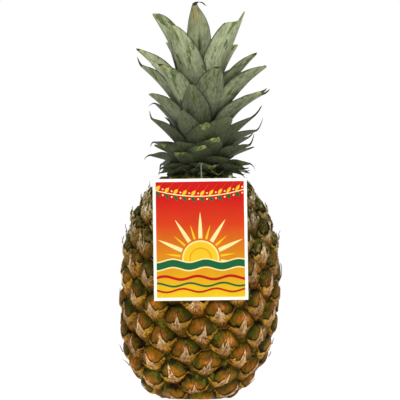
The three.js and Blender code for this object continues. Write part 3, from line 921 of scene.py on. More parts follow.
    def make(self) -> Material:
        """Builds the card's material.

        Returns:
            The material.
        """
        g = Graph("card")
        x, y, _ = g.split(g.vector("print"))
        front = g.number("front")
        color = g.ramp(g.times(y, 1 / self.card.height), self.ground)
        color = self.garland(g, self.sunrise(g, color, x, y), x, y)
        side = g.math("SUBTRACT", self.card.width / 2 - self.margin, g.math("ABSOLUTE", x))
        off_middle = g.math("ABSOLUTE", g.add(y, -self.card.height / 2))
        end = g.math("SUBTRACT", self.card.height / 2 - self.margin, off_middle)
        color = g.blend(self.inside(g, g.math("MINIMUM", side, end)), self.paper, color)
        fibre = g.noise(g.place(), 900.0, 4.0, 0.7)
        cockle = g.noise(g.place(), 45.0, 2.0)
        plain = g.ramp(fibre, [(0.3, self.back_fibre), (0.6, self.back)])
        color = g.blend(g.rise(front, 0.4, 0.6), plain, color)
        # painted light and shade: the colour follows the card's cockle
        color = g.shade(color, g.rise(cockle, 0.3, 0.7, 0.94, 1.02))
        rough = g.math("MULTIPLY_ADD", g.rise(front, 0.4, 0.6), -0.3, g.rise(fibre, 0.3, 0.7, 0.84, 0.72))
        normal = g.bump(fibre, 0.00008, 0.5, g.bump(cockle, 0.0006, 0.35))
        return g.finish(color, rough, normal, 0.14)


@dataclass(frozen=True)
class SealFinish:
    """Uncoated paper seal with an embossed rim and loose fibres."""

    light: Paint = Paint(226, 219, 202)
    dark: Paint = Paint(198, 187, 164)

    def make(self) -> Material:
        """Builds the seal's material.

        Returns:
            The material.
        """
        g = Graph("seal")
        far = g.number("far")
        fibre = g.noise(g.stretch(g.place(), 1.0, 1.0, 0.4), 1600.0, 4.0, 0.7)
        color = g.ramp(fibre, [(0.32, self.dark), (0.58, self.light)])
        groove = g.times(g.rise(far, 0.76, 0.8), g.rise(far, 0.88, 0.84))
        # painted shade in the embossed groove
        color = g.blend(g.times(groove, 0.35), color, self.dark)
        normal = g.bump(fibre, 0.00012, 0.6, g.bump(groove, 0.0003, -0.8))
        return g.finish(color, g.rise(fibre, 0.3, 0.7, 0.86, 0.7), normal, 0.3)


@dataclass(frozen=True)
class TieFinish:
    """Thin elastic braid, pale grey green, with crossing strands."""

    light: Paint = Paint(138, 146, 120)
    dark: Paint = Paint(86, 94, 72)

    def make(self) -> Material:
        """Builds the tie's material.

        Returns:
            The material.
        """
        g = Graph("elastic")
        round_it, along, _ = g.split(g.vector("braid"))
        one = g.math("SINE", g.add(g.times(round_it, 2.0), g.times(along, 3.2)))
        other = g.math("SINE", g.add(g.times(round_it, -2.0), g.times(along, 3.2)))
        braid = g.rise(g.math("MAXIMUM", one, other), -0.4, 1.0)
        # painted shade: darker between the braid's strands
        color = g.ramp(braid, [(0.1, self.dark), (0.8, self.light)])
        color = g.shade(color, g.rise(g.noise(g.place(), 400.0, 3.0), 0.3, 0.7, 0.85, 1.08))
        return g.finish(color, g.rise(braid, 0.0, 1.0, 0.75, 0.5), g.bump(braid, 0.00015, 0.8), 0.4)


@dataclass(frozen=True)
class StalkFinish:
    """Cut stalk: a dry tan face with a darker ring and open fibre ends, and a brown bark."""

    pith: Paint = Paint(196, 166, 116)
    fibre: Paint = Paint(150, 112, 66)
    ring: Paint = Paint(112, 78, 44)
    bark: Paint = Paint(92, 72, 42)

    def make(self) -> Material:
        """Builds the stalk's material.

        Returns:
            The material.
        """
        g = Graph("stalk")
        far, cut = g.number("far"), g.number("cut")
        place = g.place()
        cloud = g.noise(place, 320.0, 4.0, 0.6)
        dots = g.node("TexVoronoi", place, 0.0, 620.0)
        ends = g.rise(dots.outputs["Distance"], 0.34, 0.14)
        color = g.ramp(cloud, [(0.3, self.fibre), (0.62, self.pith)])
        color = g.blend(g.times(ends, 0.7), color, self.fibre)
        rim = g.rise(g.add(far, g.swing(cloud, 0.12)), 0.8, 0.92)
        color = g.blend(g.times(rim, 0.8), color, self.ring)
        streak = g.noise(g.stretch(place, 1.0, 1.0, 0.12), 1500.0, 3.0, 0.6)
        side = g.ramp(streak, [(0.35, self.ring), (0.6, self.bark)])
        color = g.blend(g.rise(cut, 0.3, 0.7), side, color)
        normal = g.bump(ends, 0.0003, 0.7, g.bump(cloud, 0.0006, 0.8))
        return g.finish(color, g.rise(cloud, 0.3, 0.7, 0.8, 0.62), normal, 0.3)


@dataclass(frozen=True)
class StemFinish:
    """The crown's short stem: pale green between the scars of its leaves."""

    pale: Paint = Paint(150, 152, 104)
    green: Paint = Paint(84, 96, 58)
    scar: Paint = Paint(70, 52, 32)

    def make(self) -> Material:
        """Builds the stem's material.

        Returns:
            The material.
        """
        g = Graph("stem")
        place = g.place()
        cloud = g.noise(place, 300.0, 4.0, 0.6)
        streak = g.noise(g.stretch(place, 1.0, 1.0, 0.1), 1300.0, 3.0, 0.6)
        height = g.split(place)[2]
        lap = g.math("FRACT", g.add(g.times(height, 300.0), g.times(cloud, 0.8)))
        color = g.ramp(streak, [(0.35, self.green), (0.65, self.pale)])
        color = g.blend(g.rise(lap, 0.3, 0.05), color, self.scar)
        normal = g.bump(lap, 0.0008, 0.6, g.bump(streak, 0.0004, 0.6))
        return g.finish(color, g.rise(cloud, 0.3, 0.7, 0.75, 0.55), normal, 0.3)


# ---- Fruit ----


class Rows(NamedTuple):
    """Places on the smooth skin: radius, height, and the outward and upward parts of its normal."""

    radius: Array
    height: Array
    outward: Array
    upward: Array


@dataclass(frozen=True)
class FruitShape:
    """The fruit's smooth skin: an egg cut off flat at the base and at the neck."""

    height: float = 178.0
    belly_radius: float = 60.6
    belly_height: float = 92.0
    lower_depth: float = 96.5
    lower_power: float = 2.8
    upper_depth: float = 93.0
    upper_power: float = 2.35
    lean: float = 4.8
    lean_height: float = 110.0
    steps: int = 600
    room: float = 4.2
    more_room: float = 5.0

    def radius_at(self, z: Array) -> Array:
        """Works out the smooth skin.

        Args:
            z: heights over the base.

        Returns:
            The skin's radius at each height.
        """
        away = np.asarray(z, float) - self.belly_height
        share = np.abs(away) / np.where(away < 0, self.lower_depth, self.upper_depth)
        power = np.where(away < 0, self.lower_power, self.upper_power)
        return self.belly_radius * np.sqrt(np.maximum(0.0, 1.0 - share**power))

    def lean_at(self, z: Array) -> Array:
        """How far the middle stands to the right of the base at a height."""
        return self.lean * smoothstep(z, 0.0, self.lean_height)

    @cached_property
    def heights(self) -> Array:
        """The heights at which the skin is tabulated."""
        return np.linspace(0.0, self.height, self.steps + 1)

    @cached_property
    def radii(self) -> Array:
        """The skin's radius at each tabulated height."""
        return self.radius_at(self.heights)

    @cached_property
    def runs(self) -> Array:
        """Length of the skin from the base up to each tabulated height."""
        return np.concatenate([[0.0], np.cumsum(np.hypot(np.diff(self.heights), np.diff(self.radii)))])

    @cached_property
    def areas(self) -> Array:
        """Area of the skin below each tabulated height."""
        rings = math.pi * (self.radii[1:] + self.radii[:-1]) * np.diff(self.runs)
        return np.concatenate([[0.0], np.cumsum(rings)])

    def at_run(self, run: Array) -> Rows:
        """Finds places on the skin.

        Args:
            run: lengths up the skin from the base.

        Returns:
            The skin's radius, height and normal there.
        """
        rising, widening = np.gradient(self.heights, self.runs), np.gradient(self.radii, self.runs)
        columns = (self.radii, self.heights, rising, -widening)
        radius, height, outward, upward = (np.interp(run, self.runs, column) for column in columns)
        long = np.hypot(outward, upward)
        return Rows(radius, height, outward / long, upward / long)

    def over_skin(self, run: Array, angle: Array, lift: Array) -> Array:
        """Points over the skin.

        Args:
            run: lengths up the skin.
            angle: turns from the front towards the right.
            lift: heights over the smooth skin along its normal.

        Returns:
            One row of x, y and z for each point.
        """
        rows = self.at_run(run)
        radius = rows.radius + lift * rows.outward
        x = self.lean_at(rows.height) + radius * np.sin(angle)
        return abreast(x, -radius * np.cos(angle), rows.height + lift * rows.upward)

    def room_over(self, run: Array) -> Array:
        """How high anything may stand over the skin: higher where the fruit is narrower than its belly."""
        return self.room + np.clip(self.belly_radius - self.at_run(run).radius, 0.0, self.more_room)


@dataclass(frozen=True)
class Eyes:
    """The eyes' places, one spiral from the base to the neck, and the skin's relief round them."""

    shape: FruitShape = FruitShape()
    area: float = 457.0
    first: float = 0.4
    turn: float = math.radians(137.478)
    start: float = math.radians(17.25)
    relief: float = 2.6
    flank: float = 6.0
    fade: float = 7.0
    cap_width: float = 12.2
    cap_top: float = 8.1
    cap_middle: float = 3.2
    cap_lift: float = 2.0
    stray: float = 0.6
    rim_at: float = 1.06
    rim_width: float = 0.07
    rim_depth: float = 0.5
    crease_width: float = 0.9
    crease_depth: float = 0.9
    crumple: float = 0.45
    crumpled_from: float = 95.0
    crumpled_to: float = 150.0
    end_gap: float = 0.5
    batch: int = 4000

    @cached_property
    def runs(self) -> Array:
        """How far up the skin each eye stands."""
        count = int(self.shape.areas[-1] / self.area - self.first) + 1
        return np.interp(self.area * (np.arange(count) + self.first), self.shape.areas, self.shape.runs)

    @cached_property
    def angles(self) -> Array:
        """Each eye's turn from the front."""
        return self.start - self.turn * np.arange(len(self.runs))

    @cached_property
    def radii(self) -> Array:
        """The skin's radius at each eye."""
        return self.shape.at_run(self.runs).radius

    def clear_of_ends(self, margin: float) -> Array:
        """Which eyes stand more than a margin from the base and from the neck."""
        return (self.runs > margin) & (self.shape.runs[-1] - self.runs > margin)

    def angle_beside(self, eye: Array, side: Array) -> Array:
        """The turns of points to the right of eyes."""
        return self.angles[eye] + side / self.radii[eye]

    def run_above(self, eye: Array, up: Array) -> Array:
        """How far up the skin points above eyes are, kept inside its ends."""
        return np.clip(self.runs[eye] + up, self.end_gap, self.shape.runs[-1] - self.end_gap)

    def offsets(self, run: Array, angle: Array, eye: Array) -> tuple[Array, Array]:
        """Measures from an eye to points of the skin.

        Args:
            run: the points' lengths up the skin.
            angle: their turns.
            eye: the eyes' indices.

        Returns:
            How far each point lies to the right of its eye and above it.
        """
        turn = angle - self.angles[eye]
        turn = np.arctan2(np.sin(turn), np.cos(turn))
        radius = (self.shape.at_run(run).radius + self.radii[eye]) / 2
        return turn * radius, run - self.runs[eye]

    def cells(self, run: Array, angle: Array) -> tuple[Array, Array]:
        """Finds the eye that each point belongs to.

        Args:
            run: lengths up the skin.
            angle: turns from the front.

        Returns:
            The nearest eye's index and the distance to the crease round its cell.
        """
        run, angle = self.strayed(run, angle)
        owner, crease = np.empty(len(run), int), np.empty(len(run))
        every = np.arange(len(self.runs))
        for part in np.array_split(np.arange(len(run)), max(1, len(run) // self.batch)):
            side, up = self.offsets(run[part, None], angle[part, None], every[None, :])
            far = side**2 + up**2
            near = far.argmin(axis=1)
            between = np.hypot(*self.offsets(self.runs[None, :], self.angles[None, :], near[:, None]))
            gap = (far - far.min(axis=1)[:, None]) / (2 * np.maximum(between, 1e-6))
            gap[np.arange(len(part)), near] = np.inf
            owner[part] = near
            crease[part] = gap.min(axis=1)
        return owner, crease

    def strayed(self, run: Array, angle: Array) -> tuple[Array, Array]:
        """Shifts points a little to and fro, so that the creases between eyes aren't straight.

        Args:
            run: lengths up the skin.
            angle: turns from the front.

        Returns:
            The shifted lengths and turns.
        """
        up = np.sin(15 * angle + 0.7 * np.sin(run / 5.3)) + 0.5 * np.sin(34 * angle + run / 3.1)
        side = np.sin(run / 3.7 + 1.3 * np.sin(10 * angle))
        side = side + 0.5 * np.sin(run / 1.7 + 2.0 * np.sin(23 * angle))
        return run + self.stray * up, angle + self.stray * side / self.shape.belly_radius

    def cap_at(self, side: Array, up: Array) -> Array:
        """How far out on an eye's cap a point is: 0 in its middle, 1 at its rim."""
        off = np.abs(up - self.cap_middle) / self.cap_top
        return ((np.abs(side) / self.cap_width) ** 2.1 + off**2.1) ** (1 / 2.1)

    def lift_at(self, run: Array, side: Array, up: Array, crease: Array) -> Array:
        """How far the skin is raised at points.

        Args:
            run: the points' lengths up the skin.
            side: how far right of their eye they are.
            up: how far above it.
            crease: their distance to the crease.

        Returns:
            Heights over the smooth skin.
        """
        dome = 1 - (1 - np.minimum(crease / self.flank, 1)) ** 2
        cap = self.cap_at(side, up)
        lens = np.sqrt(np.maximum(0.0, 1 - np.minimum(cap, 1) ** 2)) * smoothstep(crease, 0.3, 2.5)
        groove = self.rim_depth * np.exp(-(((cap - self.rim_at) / self.rim_width) ** 2))
        groove = groove + self.crease_depth * np.exp(-((crease / self.crease_width) ** 2))
        folds = np.sin(1.1 * side + 0.35 * run) * np.sin(0.9 * up + 0.4 * side)
        folds = folds + 0.6 * np.sin(2.2 * side - 1.2 * up)
        folds = folds * smoothstep(run, self.crumpled_from, self.crumpled_to) * smoothstep(crease, 0.5, 3.0)
        ends = smoothstep(np.minimum(run, self.shape.runs[-1] - run), 0.0, self.fade)
        raised = self.relief * (dome - 0.5) + self.cap_lift * lens - groove + self.crumple * folds
        return raised * ends

    def ground_at(self, run: Array, angle: Array, least: float) -> Array:
        """Finds the ground for what grows over the eyes.

        Args:
            run: lengths up the skin.
            angle: turns from the front.
            least: creases are bridged where they are nearer than this.

        Returns:
            Heights over the smooth skin.
        """
        owner, crease = self.cells(run, angle)
        return self.lift_at(run, *self.offsets(run, angle, owner), np.maximum(crease, least))


@dataclass(frozen=True)
class BractEdge:
    """The bracts' upper edge: two wings that rise to the sides, and a spike with smaller ones beside it."""

    eyes: Eyes
    width: float = 12.6
    waist: float = -3.2
    wing_rise: float = 3.4
    wing_from: float = 0.55
    tilt: float = 1.2
    spike_half: float = 4.0
    spike_length: float = 11.8
    thorn_half: float = 1.5
    # Each small thorn's trait, its place beside the spike, and its size on the lower half.
    thorns: tuple = ((19, -2.9, 1.0), (20, 2.9, 1.0), (32, -6.4, 0.4), (33, 6.4, 0.4))
    sway: float = 2.6
    clear: float = 9.0
    bare: float = 9.0

    def grown(self) -> Array:
        """Which eyes carry a bract: all but those at the very base and neck."""
        return self.eyes.clear_of_ends(self.clear)

    def young(self, eye: Array) -> Array:
        """How near eyes stand to the neck, from 0 on the lower half to 1."""
        return smoothstep(self.eyes.runs[eye] / self.eyes.shape.runs[-1], 0.45, 0.85)

    def centre(self, eye: Array) -> Array:
        """How far right of its eye each bract's spike stands."""
        return 1.6 * wobble(eye, 11)

    def length(self, eye: Array) -> Array:
        """The length of each bract's spike."""
        return (self.spike_length + 3.8 * wobble(eye, 15)) * (1 - 0.3 * self.young(eye))

    def lean(self, eye: Array, free: Array) -> Array:
        """How far spikes lean to a side, at a share of their length."""
        return self.sway * wobble(eye, 16) * free**1.5

    def wing(self, eye: Array, side: Array) -> Array:
        """Finds the upper edge of the wings.

        Args:
            eye: the eyes' indices.
            side: how far right of the eye to look.

        Returns:
            The edge's height over the eye.
        """
        bent = np.clip(side / self.width, -1, 1)
        reach = np.clip((np.abs(bent) - self.wing_from) / (1 - self.wing_from), 0, 1)
        wing = self.waist + (self.wing_rise + 1.6 * wobble(eye, 12 + np.sign(side))) * reach**1.6
        wing = wing + (self.tilt + wobble(eye, 27)) * bent + 0.6 * bent**2
        frayed = np.sin(side * 1.7 + 6 * wobble(eye, 18)) + 0.7 * np.sin(side * 4.1 + 6 * wobble(eye, 31))
        return wing + (0.4 + 1.1 * self.young(eye)) * frayed * (1 - 0.7 * reach)

    def spikes(self, eye: Array, side: Array) -> Array:
        """Finds how far the spikes rise over the wings.

        Args:
            eye: the eyes' indices.
            side: how far right of the eye to look.

        Returns:
            The rise as a share of the spike's length.
        """
        off = side - self.centre(eye)
        young = self.young(eye)
        half = self.spike_half * (1 + 0.25 * wobble(eye, 28)) * (1 - 0.25 * young)
        tallest = np.clip(1 - np.abs(off) / half, 0, 1) ** (1.9 + 0.5 * wobble(eye, 29))
        for trait, place, grown in self.thorns:
            share = np.clip(0.15 + 0.4 * wobble(eye, trait) + 0.4 * young, 0.0, 0.8)
            share = share * (grown + (1 - grown) * young)
            beside = off - place - 1.1 * wobble(eye, trait + 20)
            tallest = np.maximum(tallest, share * np.clip(1 - np.abs(beside) / self.thorn_half, 0, 1) ** 1.3)
        return tallest

    def over(self, eye: Array, side: Array, up: Array) -> Array:
        """Measures how far above their eye's bract points are.

        Args:
            eye: the eyes' indices.
            side: how far right of the eye the points are.
            up: how far above it.

        Returns:
            Heights over the bract's edge, negative below it.
        """
        length = self.length(eye)
        free = np.clip((up - self.waist) / length, 0, 1)
        straight = side - self.lean(eye, free)
        over = up - self.wing(eye, straight) - length * self.spikes(eye, straight)
        return np.where(self.grown()[eye], over, self.bare)


@dataclass
class Rind:
    """The rind: one closed skin, raised into its eyes."""

    eyes: Eyes
    edge: BractEdge
    finish: RindFinish = RindFinish()
    rows: int = 232
    columns: int = 360
    socket_radius: float = 12.3
    socket_depth: float = 11.3
    lip: float = 0.6
    base_ring: float = 4.0
    neck_ring: float = 0.6
    near: float = 0.02
    leaning_from: float = 18.45

    def profile(self) -> list[tuple[float, float]]:
        """The outline that is spun: socket, base, skin and neck.

        Returns:
            Its (radius, height) points in order.
        """
        shape = self.eyes.shape
        base = float(shape.radii[0])
        inside = [(0.0, self.socket_depth), (self.socket_radius, self.socket_depth)]
        rim = [(self.socket_radius, self.lip), (self.socket_radius + self.lip, 0.0)]
        flat = [(base - self.base_ring, 0.0)]
        rows = shape.at_run(np.linspace(0.0, shape.runs[-1], self.rows + 1))
        skin = list(zip(rows.radius.tolist(), rows.height.tolist()))
        neck = [(skin[-1][0] * self.neck_ring, shape.height), (0.0, shape.height)]
        return inside + rim + flat + skin + neck

    def build(self) -> Object:
        """Spins the skin, raises its eyes and dresses it.

        Returns:
            The piece.
        """
        shape = self.eyes.shape
        mesh = Workshop.turned("rind_skin", self.profile(), self.columns)
        places = Workshop.points(mesh)
        radius, z = np.hypot(places[:, 0], places[:, 1]), places[:, 2]
        angle = np.arctan2(places[:, 0], -places[:, 1])
        run = np.interp(z, shape.heights, shape.runs)
        on_skin = np.abs(radius - shape.radius_at(z)) < self.near
        owner, crease = self.eyes.cells(run, angle)
        side, up = self.eyes.offsets(run, angle, owner)
        raised = shape.over_skin(run, angle, self.eyes.lift_at(run, side, up, crease))
        raised[:, 2] = np.maximum(raised[:, 2], 0.0)
        places[:, 0] += shape.lean_at(z) * (radius > self.leaning_from)
        Workshop.move(mesh, np.where(on_skin[:, None], raised, places))
        self.mark_eyes(mesh, run, angle, crease)
        return Workshop.place(mesh, self.finish.make(), "fruit", Slot.RIND)

    def mark_eyes(self, mesh: Mesh, run: Array, angle: Array, crease: Array) -> None:
        """Stores each corner's place on its face's own eye, so that no colour runs across a crease.

        Args:
            mesh: the raised skin.
            run: each vertex's length up the skin.
            angle: each vertex's turn.
            crease: each vertex's distance to the crease.
        """
        corner = np.empty(len(mesh.loops), np.int32)
        mesh.loops.foreach_get("vertex_index", corner)
        starts = np.empty(len(mesh.polygons), np.int32)
        sizes = np.empty(len(mesh.polygons), np.int32)
        mesh.polygons.foreach_get("loop_start", starts)
        mesh.polygons.foreach_get("loop_total", sizes)
        face = np.repeat(np.arange(len(sizes)), sizes)
        mid_run = np.add.reduceat(run[corner], starts) / sizes
        mid_angle = np.arctan2(
            np.add.reduceat(np.sin(angle)[corner], starts), np.add.reduceat(np.cos(angle)[corner], starts)
        )
        owner = self.eyes.cells(mid_run, mid_angle)[0][face]
        side, up = self.eyes.offsets(run[corner], angle[corner], owner)
        seed = seed_of(owner, 5)
        Workshop.mark(
            mesh, "CORNER", cap=self.eyes.cap_at(side, up), over=self.edge.over(owner, side, up), seed=seed,
            eye=abreast(side, up, seed * SEED_SPREAD),
        )
        Workshop.mark(mesh, edge=crease)


@dataclass
class Bracts:
    """The papery bracts: a star with two wings and a spike on the lower half of each eye."""

    eyes: Eyes
    edge: BractEdge
    finish: BractFinish = BractFinish()
    columns: int = 30
    rows: int = 10
    keel: float = -12.6
    keel_rise: float = 11.0
    thickness: float = 0.5
    lowest: float = 0.6
    stand: float = 1.6
    pleat: float = 0.35
    deepest: float = -13.6
    # How far back along the spiral the eyes stand that can touch one from below, and how near they are.
    neighbours: tuple = (5, 8, 13, 21, 34)
    near: float = 34.0
    drop: float = 3.0
    gap: float = 0.3
    bridged: float = 1.2

    def floor_of_cell(self, eye: Array, side: Array) -> Array:
        """Finds the lower border of an eye's cell.

        Args:
            eye: the eyes' indices.
            side: how far right of the eye to look.

        Returns:
            The border's height below the eye, as a negative number.
        """
        lowest = np.full(len(eye), self.deepest)
        for step in self.neighbours:
            other = eye - step
            known = other >= 0
            near = np.where(known, other, 0)
            dx, dy = self.eyes.offsets(self.eyes.runs[near], self.eyes.angles[near], eye)
            below = known & (dy < -self.drop) & (np.hypot(dx, dy) < self.near)
            border = ((dx**2 + dy**2) / 2 - side * dx) / np.where(below, dy, -1.0)
            lowest = np.where(below & (border < 0), np.maximum(lowest, border), lowest)
        return lowest

    def build(self) -> Object:
        """Shapes every bract on its eye and dresses them.

        Returns:
            The piece.
        """
        shape = self.eyes.shape
        chosen = np.flatnonzero(self.edge.grown())
        mesh, u, v, which = Workshop.grids("bracts", len(chosen), self.columns, self.rows)
        eye = chosen[which]
        bent = 0.36 * u + 0.64 * u**3
        side = bent * self.edge.width + self.edge.centre(eye) * (1 - np.abs(u)) ** 0.5
        bottom = self.floor_of_cell(eye, side) + self.gap
        wing, length = self.edge.wing(eye, side), self.edge.length(eye)
        top = wing + length * self.edge.spikes(eye, side)
        keel = self.keel + 1.5 * wobble(eye, 26) + self.keel_rise * np.abs(bent) ** 1.9
        bottom = np.minimum(np.maximum(bottom, keel), top - self.gap)
        up = bottom + (top - bottom) * v
        free = np.clip((up - wing) / length, 0, 1)
        side = side + self.edge.lean(eye, free)
        angle, run = self.eyes.angle_beside(eye, side), self.eyes.run_above(eye, up)
        ground = self.eyes.ground_at(run, angle, self.bridged)
        lift = -0.6 + 1.1 * smoothstep(v, 0.0, 0.3) + 0.5 * smoothstep(v, 0.5, 1.0) * (1 - 0.8 * free)
        loose = np.maximum(0, wobble(eye, 17)) ** 3 + 1.5 * self.edge.young(eye) * np.abs(wobble(eye, 17))
        stand = self.stand * loose * free**1.4
        fan = np.arctan2(side, np.maximum(1.0, up - self.keel))
        pleats = self.pleat * np.sin(9 * fan + 6 * wobble(eye, 30))
        lift = lift + pleats * smoothstep(v, 0.0, 0.4) * (1 - free)
        places = shape.over_skin(run, angle, np.minimum(ground + lift + stand, shape.room_over(run)))
        places[:, 2] = np.maximum(places[:, 2], self.lowest)
        Workshop.move(mesh, places)
        seed = seed_of(eye, 5)
        tall = top - bottom
        eye_place = abreast(side, up, seed * SEED_SPREAD)
        Workshop.mark(mesh, eye=eye_place, free=free, seed=seed, rim=(1 - v) * tall, foot=v * tall)
        made = Workshop.place(mesh, self.finish.make(), "fruit", Slot.RIND)
        wall = made.modifiers.new("paper", "SOLIDIFY")
        wall.thickness = self.thickness * MM
        wall.offset = -1.0
        return made


@dataclass
class Stalk:
    """The cut end of the fruit's stalk, in its socket in the underside."""

    finish: StalkFinish = StalkFinish()
    radius: float = 12.0
    taper: float = 0.6
    depth: float = 11.0
    bevel: float = 0.7
    face_height: float = 0.25
    saw_depth: float = 0.12
    rib_depth: float = 0.15
    rings: int = 16
    steps: int = 72

    def build(self) -> Object:
        """Spins the stalk, roughens its cut and dresses it.

        Returns:
            The piece.
        """
        flat = self.radius - self.bevel
        cut = [(flat * k / self.rings, self.face_height) for k in range(self.rings + 1)]
        corner = [
            (self.radius - self.bevel * (1 - math.sin(a)), self.face_height + self.bevel * (1 - math.cos(a)))
            for a in (math.pi * k / 8 for k in range(1, 5))
        ]
        top = self.radius - self.taper
        side = [(top + self.taper * (1 - k / 6), self.depth * k / 6) for k in range(2, 7)]
        mesh = Workshop.turned("cut_stalk", cut + corner + side + [(0.0, self.depth)], self.steps)
        places = Workshop.points(mesh)
        far, angle = np.hypot(places[:, 0], places[:, 1]), np.arctan2(places[:, 0], -places[:, 1])
        on_cut = places[:, 2] < self.face_height + 1e-3
        saw = np.sin(places[:, 0] * 2.1 + 0.6 * places[:, 1]) + 0.5 * np.sin(places[:, 1] * 3.7)
        ribs = (1 + np.sin(angle * 23) * (places[:, 2] > 1.2)) * (far > self.radius / 2)
        places[:, 2] += np.where(on_cut, self.saw_depth * saw, 0.0)
        places[:, :2] *= (1 - self.rib_depth * ribs / self.radius)[:, None]
        Workshop.move(mesh, places)
        Workshop.mark(mesh, far=far / self.radius, cut=(places[:, 2] < 1.0).astype(float))
        return Workshop.place(mesh, self.finish.make(), "stalk", Slot.STALK)


@dataclass
class Wisps:
    """Dry bract tips that have curled up into threads, here and there on the eyes."""

    eyes: Eyes
    finish: BractFinish = BractFinish()
    every: int = 2
    sides: int = 6
    steps: int = 18
    radius: float = 0.55
    length: float = 8.5
    foot: float = 3.5
    high_foot: float = 6.0
    clear: float = 14.0
    bridged: float = 3.0

    def build(self) -> Object:
        """Shapes the threads and dresses them.

        Returns:
            The piece.
        """
        shape = self.eyes.shape
        chosen = np.flatnonzero(self.eyes.clear_of_ends(self.clear))[::self.every]
        mesh, u, t, which = Workshop.grids("bract_wisps", len(chosen), self.sides, self.steps)
        eye, phi = chosen[which], math.pi * (u + 1)
        length = self.length * (1 + 0.35 * wobble(eye, 21))
        side_lean, out_curl = 0.9 * wobble(eye, 22), 0.45 + 0.3 * wobble(eye, 23)
        side = 1.5 * wobble(eye, 11) + length * (side_lean * t**2 - 0.25 * side_lean * t**4)
        up = self.foot + 2 * wobble(eye, 24) + length * (t - 0.3 * t**3)
        out = 1.6 + length * out_curl * t**1.5
        thick = self.radius * (1 - 0.8 * t) * ((t > 1e-4) & (t < 1 - 1e-4))
        angle, run = self.eyes.angle_beside(eye, side + thick * np.cos(phi)), self.eyes.run_above(eye, up)
        ground = self.eyes.ground_at(run, angle, self.bridged)
        lift = np.minimum(ground + out, shape.room_over(run) - self.radius) + thick * np.sin(phi)
        Workshop.move(mesh, shape.over_skin(run, angle, lift))
        seed = seed_of(eye, 25)
        eye_place = abreast(side, up, seed * SEED_SPREAD)
        Workshop.mark(mesh, eye=eye_place, free=0.84 + 0.16 * t, seed=0.4 + 0.6 * seed)
        Workshop.mark(mesh, rim=np.ones(len(t)), foot=np.full(len(t), self.high_foot))
        Workshop.weld(mesh)
        return Workshop.place(mesh, self.finish.make(), "fruit", Slot.RIND)


# ---- Crown ----


@dataclass(frozen=True)
class LeafRule:
    """How the leaves change from the lowest (0) to the innermost (1)."""

    attach: tuple = (
        (-0.2, 179.2), (0, 179.2), (0.01, 178.5), (0.21, 179.5), (0.22, 181.5), (0.5, 188), (0.74, 204),
        (0.94, 223), (1, 230),
    )
    tip_height: tuple = (
        (-0.2, 171), (-0.02, 173), (0, 177), (0.08, 180), (0.18, 186), (0.23, 190), (0.3, 200),
        (0.39, 207), (0.49, 217), (0.56, 230), (0.64, 248), (0.72, 262), (0.85, 288), (0.93, 302), (1, 310),
    )
    reach: tuple = (
        (-0.2, 33), (-0.02, 37), (0, 40), (0.08, 42), (0.18, 45), (0.39, 47), (0.59, 50), (0.79, 50),
        (0.93, 42), (1, 24),
    )
    width: tuple = ((-0.2, 17), (0, 24), (0.08, 25), (0.39, 25), (0.7, 26), (1, 22))
    root_arch: tuple = ((0, 12), (0.2, 6), (0.5, 8), (0.7, 12), (1, 9))
    tip_arch: tuple = ((0, 30), (0.13, 16), (0.2, 6), (0.45, 8), (0.7, 15), (1, 12))
    outline: tuple = (
        (0, 0.3), (0.24, 0.7), (0.45, 1), (0.62, 0.97), (0.78, 0.82), (0.89, 0.57), (0.95, 0.37), (1, 0.2),
    )
    middle_outline: tuple = (
        (0, 0.36), (0.2, 0.75), (0.42, 1), (0.58, 0.92), (0.7, 0.74), (0.83, 0.5), (0.92, 0.3), (1, 0.12),
    )
    old_outline: tuple = (
        (0, 0.42), (0.2, 0.8), (0.38, 1), (0.55, 0.9), (0.7, 0.7), (0.83, 0.47), (0.93, 0.26), (1, 0.13),
    )
    old_until: tuple = (0.3, 0.5)
    middle_until: tuple = (0.62, 0.8)
    round_from: float = 0.955


# Leaves that grow away from the rule: degrees turned, then millimetres raised, stretched and swayed.
LEAF_QUIRKS: dict[int, Four] = {
    -12: (0, 0, -4, 0), -8: (-4, 7, 9, 0), -7: (0, 0, -6, 0), -4: (0, 0, -5, 0), 1: (0, 0, -3, 0),
    4: (0, 0, -7, 0), 9: (0, 0, -9, 0), 12: (0, 0, -3, 0), 52: (0, -20, -6, 0),
    14: (9, 6, -3, 6), 19: (6, 1, 0, 5), 29: (7, 18, 5, 5), 30: (1, 11, -2, 0),
    34: (0, -12, 3, 0), 35: (15, 9, -3, 9), 37: (2, -17, 0, 1), 38: (-7, -1, -5, -5),
    40: (5, 0, 0, 3), 42: (5, -9, 7, 5), 43: (3, -11, -6, 3), 47: (-1, -21, 2, 0),
    48: (1, -5, 0, 0), 50: (14, -17, 8, 10), 51: (0, -13, 5, 0), 53: (-11, 9, 1, -8),
    55: (-2, -21, 1, 0), 56: (-4, -16, 7, -5), 57: (0, -19, 0, 0), 58: (9, 6, 4, 10),
    59: (-6, -20, -7, -6), 60: (2, -23, -2, 3), 61: (-13, 1, 10, -17), 62: (3, 10, 1, 1),
}

NO_TIP: Four = (1.0, 0.0, 0.0, 0.0)

# Dry tips off the rule: where they start, then millimetres curled sideways, outwards and upwards.
DRY_TIPS: dict[int, Four] = {
    62: (0.915, -12.0, 0.0, -9.0), 51: (0.92, -3.0, -2.0, 3.0), 47: (0.9, 3.0, 3.0, 5.0),
    42: (0.95, 2.0, 0.0, 2.0), 38: (0.9, 2.0, 3.0, -4.0), 34: (0.87, 2.0, -3.0, 6.0),
    30: (0.91, 2.0, -3.0, 2.0), 25: (0.87, -3.0, 2.5, -3.5), 17: (0.88, 3.0, 2.0, -3.0),
    12: (0.88, -3.0, 2.0, -4.0), 9: (0.86, 4.0, 3.0, -3.0), 21: (0.86, -2.0, -4.0, 4.0),
    13: (0.88, 3.0, 3.0, -3.0), 53: NO_TIP, 61: NO_TIP,
}


